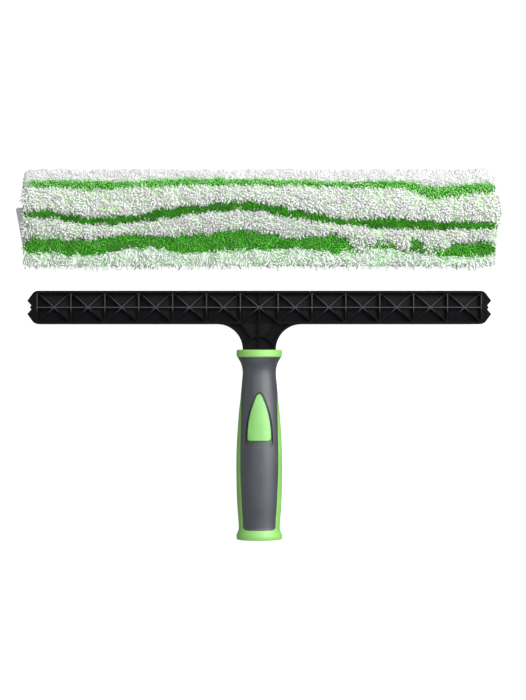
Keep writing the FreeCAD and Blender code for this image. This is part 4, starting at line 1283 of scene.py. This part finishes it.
        # Painted light and shade: the upper stripe's yarn is painted lighter, the middle stripe's darker, as
        # if shaded by the band above it
        yarns = {"upper": Yarn("upper_green_pile", srgb(96, 198, 62), srgb(134, 234, 106), srgb(114, 222, 86),
                               faded, patch_shade=0.22, sheen=0.15),
                 "middle": Yarn("middle_green_pile", srgb(32, 106, 6), srgb(60, 158, 28), srgb(42, 132, 14),
                                faded, patch_shade=0.5, patch_size=16.0 * MM, sheen=0.06),
                 "lower": Yarn("lower_green_pile", srgb(46, 140, 16), srgb(92, 204, 56), srgb(62, 174, 30),
                               faded, patch_shade=0.55, patch_size=14.0 * MM, sheen=0.12)}
        ground = PileGround("green_pile_ground", srgb(56, 146, 24), srgb(34, 108, 10)).material()
        return {stripe: Fibre(yarn.material(), ground, "green_pile") for stripe, yarn in yarns.items()}

    def build(self) -> None:
        """Grows every band."""
        whites, greens = self._whites(), self._greens()
        reach = self.form.pile_reach - self.overhang
        inner = reach - self.end_length
        ends = steps(inner, reach, self.end_step)[1:]
        self.columns = [-x for x in reversed(ends)] + steps(-inner, inner, self.column_step) + ends
        ridge = [self.form.half_turn / 2] * len(self.columns)
        for side in Side:
            front = side is Side.FRONT
            edges = self._edges(side)
            self._grow(f"{side.value}_top_white_pile", self.top, whites["top"], edges[0], ridge,
                       (0.0, 0.5) if front else (1.0, 0.5), "top_white_band")
            for number, stripe in enumerate(self.STRIPES):
                upper, lower, below = edges[2 * number:2 * number + 3]
                green, white = self.green, self.white
                if stripe == "upper":
                    green = replace(green, stained_share=self.faded_share)
                elif stripe == "middle" and front:
                    below = self._spilled(below, edges[2 * number + 3])
                elif stripe == "lower":
                    white = replace(self.lowest, droop=self.front_droop) if front else self.lowest
                under = self.lift_below if stripe == "lower" else self.lift
                node = f"{side.value}_{stripe}_green_stripe"
                self._grow(f"{node}_pile", green, greens[stripe], lower, upper, self.WHOLE, node, under)
                node = f"{side.value}_{stripe}_white_band"
                fringe = self._grow(f"{node}_pile", white, whites[stripe], below, lower, self.WHOLE, node,
                                    under)
            self._give_way(fringe)

    def _give_way(self, fringe: bpy.types.Object) -> None:
        """Gives the fringe a mesh of its own."""
        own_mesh(fringe)

    def _edges(self, side: Side) -> list[list[float]]:
        """Where the stripes and the sleeve's bottom lie.

        Args:
            side: The face of the sleeve.

        Returns:
            The way round, at every column, of each stripe's upper and lower edge and then of the bottom.
        """
        lift = self.edge_height if side is Side.FRONT else -self.edge_height
        lines = []
        for number, stripe in enumerate(self.STRIPES):
            node = f"{side.value}_{stripe}_green_stripe"
            pair = []
            for upper, lean in zip((True, False), self.leanings[number]):
                line = []
                for x in self.columns:
                    y = self.packed.edge(node, x, self.form.axis_z + lift, upper)
                    y += lean if upper else -lean
                    y += self.ragged * ripple(x, 0.0, self.ragged_size, 3.7 * number + upper + lift * 100)
                    line.append(self.form.run(y, side))
                pair.append(line)
            lines += self._tapered(*pair)
        bottom = self.form.bottom + (self.front_foot if side is Side.FRONT else self.back_foot)
        lines.append([self.form.run(bottom + self.foot_wave * ripple(x, lift, self.foot_wave_size, 2.9), side)
                      for x in self.columns])
        return lines

    def _near_end(self, x: float, length: float) -> float:
        """How near an end of the pile a column lies: 1 at the end and 0 a length away from it."""
        return max(0.0, 1 - (self.columns[-1] - abs(x)) / length)

    def _tapered(self, upper: list[float], lower: list[float]) -> tuple[list[float], list[float]]:
        """Draws a stripe's edges together near the ends, where white pile lies over it.

        Args:
            upper: Way round of its upper edge at every column.
            lower: Way round of its lower edge.

        Returns:
            The two edges, drawn together.
        """
        drawn: tuple[list[float], list[float]] = ([], [])
        for x, first, second in zip(self.columns, upper, lower):
            moved = self.taper * self._near_end(x, self.taper_length) ** 2 * (second - first) / 2
            drawn[0].append(first + moved)
            drawn[1].append(second - moved)
        return drawn

    def _spilled(self, edge: list[float], beyond: list[float]) -> list[float]:
        """Lets a white band down over the green stripe where tufts have fallen over it.

        Args:
            edge: Way round of the band's lower edge at every column.
            beyond: Way round of the stripe's far edge.

        Returns:
            The band's new lower edge.
        """
        moved = []
        for x, own, other in zip(self.columns, edge, beyond):
            cover = max(share * max(0.0, 1 - ((x - middle) / half) ** 4)
                        for middle, half, share in self.spills)
            moved.append(own + (other - own) * cover)
        return moved

    def _outwards(self, x: float, run: float) -> float:
        """Keeps the ends from being cut straight.

        Args:
            x: Place along the bar.
            run: How far round the section it lies.

        Returns:
            How far the place is moved along x.
        """
        from_fold = min(run, self.form.half_turn - run)
        moved = self.end_wave * ripple(run, math.copysign(0.5, x), self.end_wave_size, 8.3)
        rounded = min(1.0, max(0.0, (from_fold - self.corner_start) / self.corner_length))
        moved -= (self.right_corner if x > 0 else self.left_corner) * rounded
        above_foot = from_fold - self.form.run(self.form.bottom, Side.FRONT)
        moved -= self.foot_cut * max(0.0, 1 - above_foot / self.foot_length)
        if x > 0:
            from_bulge = (self.form.fold_y + run - self.right_bulge_y) / self.right_bulge_half
            moved += self.right_bulge * math.exp(-from_bulge ** 2)
        return math.copysign(self._near_end(x, self.end_length) ** 2, x) * moved

    def _grow(self, name: str, style: TuftStyle, fibre: Fibre, low: list[float], high: list[float],
              crown: tuple[float, float], node: str, under: float | None = None) -> bpy.types.Object:
        """Makes one pad and grows its tufts.

        Args:
            name: The piece's name.
            style: How its tufts stand.
            fibre: What it is made of.
            low: Way round of its first edge at every column.
            high: Way round of its second edge.
            crown: Which stretch of the crown it covers, 0 and 1 being its edges and 0.5 its top.
            node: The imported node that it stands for.
            under: Height of its underside over the cloth, the usual lift if nothing is given.

        Returns:
            The finished piece.
        """
        under = self.lift if under is None else under
        sections = []
        for x, first, second in zip(self.columns, low, high):
            sunk = 1 - 0.5 * self._near_end(x, self.end_soft_length) ** 2
            top = []
            for way in steps(0.0, 1.0, 1 / self.rows):
                run = first + (second - first) * way
                arch = 1 - abs(2 * (crown[0] + (crown[1] - crown[0]) * way) - 1) ** 3
                height = style.pad_edge + style.pad_crown * arch
                height += self.puff_height * arch * ripple(x, run, self.puff_size, self.seed)
                top.append((run, max(under + self.least_height, height * sunk)))
            low_side = [(run, under) for run, _ in reversed(top)]
            sections.append([self.form.place(x + self._outwards(x, run), run, height)
                             for run, height in top + low_side])
        pad = loft(name + "_pad", sections, fibre.ground)
        grows = pad.data.attributes.new(GROWS, "BOOLEAN", "FACE")
        count, faces = len(sections[0]), len(pad.data.polygons)
        grows.data.foreach_set("value", [number >= faces - 2 or number % count < self.rows
                                         for number in range(faces)])
        self.seed += 1
        pile = self.tree.grow(pad, name, {
            "Spacing": style.spacing, "Seed": self.seed, "Length": style.length, "Radius": style.radius,
            "Bend": style.bend, "Scatter": style.scatter, "Clump Size": self.clump_size,
            "Clump Lean": style.clump_lean, "Droop": (0.0, -style.droop, 0.0),
            "Stained Share": style.stained_share, "Sides": style.sides, "Steps": style.lengths,
            "Floor": self.floor_gap, "Material": fibre.yarn,
        })
        return settle(pile, fibre.slot, node)


# The cloth, its seams, tapes and tabs


@dataclass
class Threads:
    """Rows of stitches in one thread."""

    material: bpy.types.Material
    tree: StitchTree
    pitch: float = 3.4 * MM
    length: float = 2.7 * MM
    radius: float = 0.2 * MM
    seed: int = 4

    def sew(self, name: str, lines: Sequence[Points], slot: str) -> None:
        """Sews along lines.

        Args:
            name: The piece's name.
            lines: The points of each row.
            slot: The slot of what it is sewn in.
        """
        points: list[Vector] = []
        edges: list[tuple[int, int]] = []
        for line in lines:
            first = len(points)
            points.extend(line)
            edges.extend((number, number + 1) for number in range(first, len(points) - 1))
        settle(self.tree.grow(add_object(name + "_line", points, edges=edges), name, {
            "Pitch": self.pitch, "Length": self.length, "Radius": self.radius, "Seed": self.seed,
            "Material": self.material}), slot)


@dataclass
class Backing:
    """The folded cloth that carries the pile, open along the bottom and slightly creased."""

    form: SleeveForm
    thickness: float = 1.4 * MM
    crease_depth: float = 0.35 * MM
    crease_size: float = 38.0 * MM
    calm_height: float = 28.0 * MM
    column_step: float = 7.0 * MM
    row_step: float = 5.0 * MM
    fold_rows: int = 16
    edge_share: float = 0.4
    edge_length: float = 0.6 * MM

    def build(self, cloth: bpy.types.Material) -> None:
        """Builds the backing.

        Args:
            cloth: What it is woven of.
        """
        form = self.form
        low, high = form.run(form.cloth_bottom, Side.FRONT), form.run(form.cloth_bottom, Side.BACK)
        front = steps(low + self.edge_length, 0.0, self.row_step)
        fold = steps(0.0, form.half_turn, form.half_turn / self.fold_rows)
        back = steps(form.half_turn, high - self.edge_length, self.row_step)
        runs = [low, *front, *fold[1:], *back[1:], high]
        sections, maps = [], []
        for x in steps(-form.cloth_reach, form.cloth_reach, self.column_step):
            outside, inside = [], []
            for run in runs:
                calm = min(1.0, max(0.0, min(run - low, high - run) - self.calm_height) / self.calm_height)
                dent = self.crease_depth * calm * (1 + ripple(x, run, self.crease_size, 5.1)) / 2
                thick = self.thickness * (self.edge_share if run in (low, high) else 1.0)
                middle = -self.thickness / 2 - dent
                outside.append(form.place(x, run, middle + thick / 2))
                inside.append(form.place(x, run, middle - thick / 2))
            flat = [(x, form.cloth_way(run)) for run in runs]
            sections.append(outside + inside[::-1])
            maps.append(flat + flat[::-1])
        piece = settle(loft("folded_backing", sections, cloth, maps), "backing_cloth", "sleeve_backing")
        length = 2 * (form.fold_y - form.cloth_bottom) + math.pi * (form.cloth - self.thickness / 2)


@dataclass
class EndCloths:
    """The D-shaped cloths that close the ends, each with the seam that holds it."""

    packed: PackedFrame
    form: SleeveForm
    bulge: float = 0.35 * MM
    row_step: float = 3.0 * MM
    columns: int = 10
    turns: int = 10
    top_gap: float = 0.1 * MM
    seam_inset: float = 1.6 * MM
    seam_out: float = 1.5 * MM
    seam_start: float = 9.0 * MM
    seam_turns: int = 16

    def build(self, cloth: bpy.types.Material, threads: Threads) -> None:
        """Builds both ends.

        Args:
            cloth: What they are woven of.
            threads: What they are sewn in with.
        """
        for name, sign in (("left", -1.0), ("right", 1.0)):
            node = name + "_end_panel"
            low, high = self.packed.span(node, 0)
            piece = self._cloth(name + "_end_cloth", sign, high - low, cloth)
            settle(piece, "backing_cloth", node)
            threads.sew(name + "_end_seam", [self._seam(sign)], "backing_cloth")

    def _cloth(self, name: str, sign: float, thick: float, cloth: bpy.types.Material) -> bpy.types.Object:
        """One end cloth, slightly bulged.

        Args:
            name: The piece's name.
            sign: Which way its outside faces along x, 1 or -1.
            thick: Its thickness.
            cloth: What it is woven of.

        Returns:
            The cloth.
        """
        form = self.form
        top = form.fold_y + form.cloth - self.top_gap
        turn = math.asin((top - form.fold_y) / form.cloth)
        rows = steps(form.cloth_bottom, form.fold_y, self.row_step)
        rows += [form.fold_y + form.cloth * math.sin(angle)
                 for angle in steps(0.0, turn, turn / self.turns)[1:]]
        shares = steps(-1.0, 1.0, 2 / self.columns)
        sections, maps = [], []
        for y in rows:
            half = math.sqrt(max(0.0, form.cloth ** 2 - max(0.0, y - form.fold_y) ** 2))
            rise = math.sin(math.pi * (y - rows[0]) / (top - rows[0]))
            inside = [Vector((sign * (form.cloth_reach + self.bulge * (1 - share ** 2) * rise), y,
                              form.axis_z + half * share)) for share in shares]
            outside = [point + Vector((sign * thick, 0, 0)) for point in inside]
            flat = [(half * share, y) for share in shares]
            sections.append(outside + inside[::-1])
            maps.append(flat + flat[::-1])
        return loft(name, sections, cloth, maps)

    def _seam(self, sign: float) -> list[Vector]:
        """The seam's line.

        Args:
            sign: Which way the outside faces along x, 1 or -1.

        Returns:
            Its points, up one side, round the fold and down the other.
        """
        form = self.form
        radius = form.cloth - self.seam_inset
        x = sign * (form.cloth_reach + self.seam_out)
        rows = steps(form.cloth_bottom + self.seam_start, form.fold_y, self.row_step)
        turn = [Vector((x, form.fold_y + radius * math.sin(angle), form.axis_z + radius * math.cos(angle)))
                for angle in steps(0.0, math.pi, math.pi / self.seam_turns)]
        rise, fall = ([Vector((x, y, form.axis_z + height)) for y in rows] for height in (radius, -radius))
        return rise[:-1] + turn + fall[-2::-1]


def hairpin(reach: float, radius: float, thick: float, rows: int, turns: int) -> Map:
    """The closed section of a strip folded back on itself.

    Args:
        reach: From its free edges to the outside of the fold.
        radius: Radius of the middle of the strip at the fold.
        thick: Thickness of the strip.
        rows: Steps along each leg.
        turns: Steps round the fold.

    Returns:
        Way towards the fold and place across it, round the outside and back along the inside.
    """
    centre = reach - radius - thick / 2
    legs = [centre * number / rows for number in range(rows)]
    sides = []
    for middle in (radius + thick / 2, radius - thick / 2):
        turn = [(centre + middle * math.sin(angle), middle * math.cos(angle))
                for angle in steps(0.0, math.pi, math.pi / turns)]
        sides.append([(way, middle) for way in legs] + turn + [(way, -middle) for way in reversed(legs)])
    return sides[0] + sides[1][::-1]


def hairpin_ways(section: Map) -> list[float]:
    """How far round the folded strip each point of its section lies."""
    half = len(section) // 2
    ways = [0.0]
    for first, second in zip(section[:half - 1], section[1:half]):
        ways.append(ways[-1] + math.dist(first, second))
    return ways + ways[::-1]


@dataclass
class Hems:
    """A binding folded round each lower edge, sewn on with two rows of stitches."""

    packed: PackedFrame
    form: SleeveForm
    thickness: float = 0.7 * MM
    pucker_depth: float = 0.14 * MM
    pucker_length: float = 3.4 * MM
    pucker_width: float = 1.6 * MM
    pinch: float = 0.1
    seam_inset: float = 1.8 * MM
    seam_gap: float = 2.0 * MM
    seam_step: float = 5.0 * MM
    seam_share: float = 0.47
    rows: int = 6
    turns: int = 10
    column_step: float = 0.85 * MM

    def build(self, cloth: bpy.types.Material, threads: Threads) -> None:
        """Builds both hems.

        Args:
            cloth: What the binding is woven of.
            threads: What it is sewn on with.
        """
        reach = self.form.cloth_reach
        for side in Side:
            node = side.value + "_hem"
            z_low, z_high = self.packed.span(node, 2)
            y_low, y_high = self.packed.span(node, 1)
            radius = (z_high - z_low - self.thickness) / 2
            middle_z = (z_low + z_high) / 2
            section = hairpin(y_high - y_low, radius, self.thickness, self.rows, self.turns)
            ways = hairpin_ways(section)
            sections, maps = [], []
            for x in steps(-reach, reach, self.column_step):
                wave = self.pucker_depth * math.sin(2 * math.pi * x / self.pucker_length)
                points = []
                for way, across in section:
                    near = math.exp(-((way - self.seam_inset) / self.pucker_width) ** 2)
                    moved = across * (1 - near * self.pinch) + math.copysign(wave * near, across)
                    points.append(Vector((x, y_high - way, middle_z + moved)))
                sections.append(points)
                maps.append([(x, way) for way in ways])
            piece = settle(loft(side.value + "_bound_hem", sections, cloth, maps), "hem_binding", node)
            folded = 2 * (y_high - y_low) + (math.pi - 2) * radius
            seam = steps(self.seam_gap - reach, reach - self.seam_gap, self.seam_step)
            deep = (z_high - z_low) * self.seam_share
            lines = [[Vector((x, y_high - self.seam_inset, z)) for x in seam]
                     for z in (middle_z - deep, middle_z + deep)]
            threads.sew(side.value + "_hem_stitches", lines, "hem_binding")


@dataclass(frozen=True)
class FilamentStyle:
    """How the filaments of a tape stand."""

    height: float
    reach: float
    radius: float
    tip_height: float
    turn: float
    jitter: float
    pitch: float


@dataclass
class Tapes:
    """Hook tapes on the front's inside and loop tapes on the back's, which close the pocket under the bar."""

    packed: PackedFrame
    weave_thickness: float = 0.5 * MM
    selvedge: float = 1.6 * MM
    long_selvedge: float = 2.56 * MM
    row_step: float = 1.0 * MM
    column_step: float = 5.0 * MM
    stitch_lift: float = 0.05 * MM
    seed: int = 9
    hooks: FilamentStyle = FilamentStyle(height=0.42 * MM, reach=0.42 * MM, radius=0.09 * MM,
                                         tip_height=0.16 * MM, turn=0.15, jitter=0.08 * MM, pitch=1.35 * MM)
    loops: FilamentStyle = FilamentStyle(height=0.46 * MM, reach=0.75 * MM, radius=0.06 * MM,
                                         tip_height=0.02 * MM, turn=3.14, jitter=0.45 * MM, pitch=1.1 * MM)

    def build(self, cloth: bpy.types.Material, filaments: Mapping[str, bpy.types.Material],
              threads: Threads) -> None:
        """Builds the four tapes.

        Args:
            cloth: The weave of the tapes.
            filaments: The finish of each kind's hooks or loops.
            threads: What they are sewn on with.
        """
        tree = FastenerTree()
        for kind, style, facing in (("hook", self.hooks, -1.0), ("loop", self.loops, 1.0)):
            for side in ("left", "right"):
                node, slot = f"{side}_{kind}_tape", f"{kind}_tape"
                low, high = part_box(node)
                base = high[2] if facing < 0 else low[2]
                face = base + facing * self.weave_thickness
                self._weave(node, low, high, base, face, cloth, slot)
                feet = self._feet(f"{side}_{kind}s_feet", low, high, face, facing, style.pitch)
                settle(tree.grow(feet, f"{side}_{kind}s", {
                    "Height": style.height, "Reach": style.reach, "Radius": style.radius,
                    "Tip Height": style.tip_height, "Turn": style.turn, "Jitter": style.jitter,
                    "Seed": self.seed, "Material": filaments[kind]}), slot)
                ring = self._ring(low, high, face + facing * self.stitch_lift)
                threads.sew(f"{node}_stitches", [ring], slot)

    def _weave(self, node: str, low: Points, high: Points, base: float, face: float,
               cloth: bpy.types.Material, slot: str) -> None:
        """The woven ground of one tape, its long edges slightly thinner.

        Args:
            node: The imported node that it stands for.
            low: Lowest corner of the tape.
            high: Highest corner.
            base: Height of the side that is sewn on.
            face: Height of the side that its hooks or loops stand on.
            cloth: What it is woven of.
            slot: Its slot.
        """
        sections, maps = [], []
        rows = steps(low[1], high[1], self.row_step)
        for x in steps(low[0], high[0], self.column_step):
            outside = [Vector((x, y, (face + base) / 2 if y in (rows[0], rows[-1]) else face)) for y in rows]
            flat = [(x, y) for y in rows]
            sections.append(outside + [Vector((x, y, base)) for y in reversed(rows)])
            maps.append(flat + flat[::-1])
        piece = settle(loft(node + "_weave", sections, cloth, maps), slot, node)

    def _feet(self, name: str, low: Points, high: Points, face: float, facing: float,
              pitch: float) -> bpy.types.Object:
        """The points on one tape that its hooks or loops stand on.

        Args:
            name: Name of the object that holds them.
            low: Lowest corner of the tape.
            high: Highest corner.
            face: Height that they stand at.
            facing: 1 if they point up and -1 if they point down.
            pitch: From one to the next.

        Returns:
            The object, each of its points with the way that it points.
        """
        columns = steps(low[0] + self.selvedge, high[0] - self.selvedge, pitch)
        rows = steps(low[1] + self.long_selvedge, high[1] - self.long_selvedge, pitch)
        source = add_object(name, [Vector((x, y, face)) for x in columns for y in rows])
        outward = source.data.attributes.new(OUTWARD, "FLOAT_VECTOR", "POINT")
        outward.data.foreach_set("vector", [0.0, 0.0, facing] * (len(columns) * len(rows)))
        return source

    def _ring(self, low: Points, high: Points, z: float) -> list[Vector]:
        """The line of stitches round a tape, inside its edges.

        Args:
            low: Lowest corner of the tape.
            high: Highest corner.
            z: Height of the line.

        Returns:
            Its points.
        """
        inset = self.selvedge / 2
        x_low, x_high, y_low, y_high = low[0] + inset, high[0] - inset, low[1] + inset, high[1] - inset
        corners = [(x_low, y_low), (x_high, y_low), (x_high, y_high), (x_low, y_high), (x_low, y_low)]
        return [Vector((x, y, z)) for x, y in corners]


@dataclass
class Tabs:
    """A folded strip of smooth tape at each end, to pull the sleeve off by."""

    cloth_thickness: float = 0.6 * MM
    fold_room: float = 0.1 * MM
    corner: float = 1.6 * MM
    wave_depth: float = 0.35 * MM
    waves: float = 1.3
    row_step: float = 1.0 * MM
    root: float = 0.4 * MM
    rows: int = 6
    turns: int = 8
    right_bend: float = math.radians(42.0)

    def build(self, cloth: bpy.types.Material) -> None:
        """Builds both tabs.

        Args:
            cloth: What they are woven of.
        """
        for name, sign, bend in (("left", -1.0, 0.0), ("right", 1.0, self.right_bend)):
            node = name + "_pull_tab"
            low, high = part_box(node)
            reach, thick = high[0] - low[0], high[2] - low[2]
            axis_z, start = (low[2] + high[2]) / 2, (high[0] if sign < 0 else low[0])
            least = thick / 2 + self.fold_room
            sections, maps = [], []
            for y in steps(low[1], high[1], self.row_step):
                share = (y - low[1]) / (high[1] - low[1])
                into_corner = max(0.0, self.corner - min(y - low[1], high[1] - y))
                cut = self.corner - math.sqrt(self.corner ** 2 - into_corner ** 2)
                wide = max(least, least + (reach - least) * share - cut)
                wave = self.wave_depth * math.sin(2 * math.pi * share * self.waves)
                section = hairpin(wide + self.root, (thick - self.cloth_thickness) / 2, self.cloth_thickness,
                                  self.rows, self.turns)
                points = []
                for way, across in section:
                    out = way - self.root
                    lift = across + wave * (out / reach) ** 2
                    points.append(Vector((start + sign * (out * math.cos(bend) + lift * math.sin(bend)), y,
                                          axis_z + lift * math.cos(bend) - out * math.sin(bend))))
                sections.append(points)
                maps.append([(way, y) for way in hairpin_ways(section)])
            piece = settle(loft(name + "_folded_tab", sections, cloth, maps), "tab_cloth", node)


@dataclass
class Sleeve:
    """The loose sleeve: folded cloth, closed ends, bound hems, fastening tapes, tabs and pile."""

    packed: PackedFrame

    def build(self) -> None:
        """Builds its pieces in the order in which they are sewn."""
        form = SleeveForm.read(self.packed)
        canvas = WovenCloth("backing_cloth", srgb(222, 222, 218), srgb(168, 170, 168)).material()
        threads = Threads(Thread("sewing_thread", srgb(232, 232, 228)).material(), StitchTree())
        Backing(form).build(canvas)
        EndCloths(self.packed, form).build(canvas, threads)
        binding = WovenCloth("hem_binding", srgb(226, 226, 224), srgb(176, 178, 178), thread=0.4 * MM)
        Hems(self.packed, form).build(binding.material(), threads)
        weave = WovenCloth("tape_weave", srgb(205, 206, 206), srgb(150, 152, 154), thread=0.35 * MM)
        hooks = MouldedPlastic("hook_nylon", srgb(214, 214, 210), 0.35, grain_depth=0.004 * MM)
        loops = Thread("loop_nylon", srgb(220, 221, 219))
        filaments = {"hook": hooks.material(), "loop": loops.material()}
        Tapes(self.packed).build(weave.material(), filaments, threads)
        smooth = WovenCloth("tab_cloth", srgb(214, 213, 216), srgb(176, 176, 182), 0.3 * MM, 0.05 * MM)
        Tabs().build(smooth.material())
        Pile(self.packed, form, PileTree()).build()


def main() -> None:
    """Builds the studio and the object, piece by piece."""
    logging.basicConfig(level=logging.INFO, format="%(name)s: %(message)s")
    packed = PackedFrame()
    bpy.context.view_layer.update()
    Studio().build()
    Frame(packed).build()
    Sleeve(packed).build()


if __name__ == "__main__":
    main()
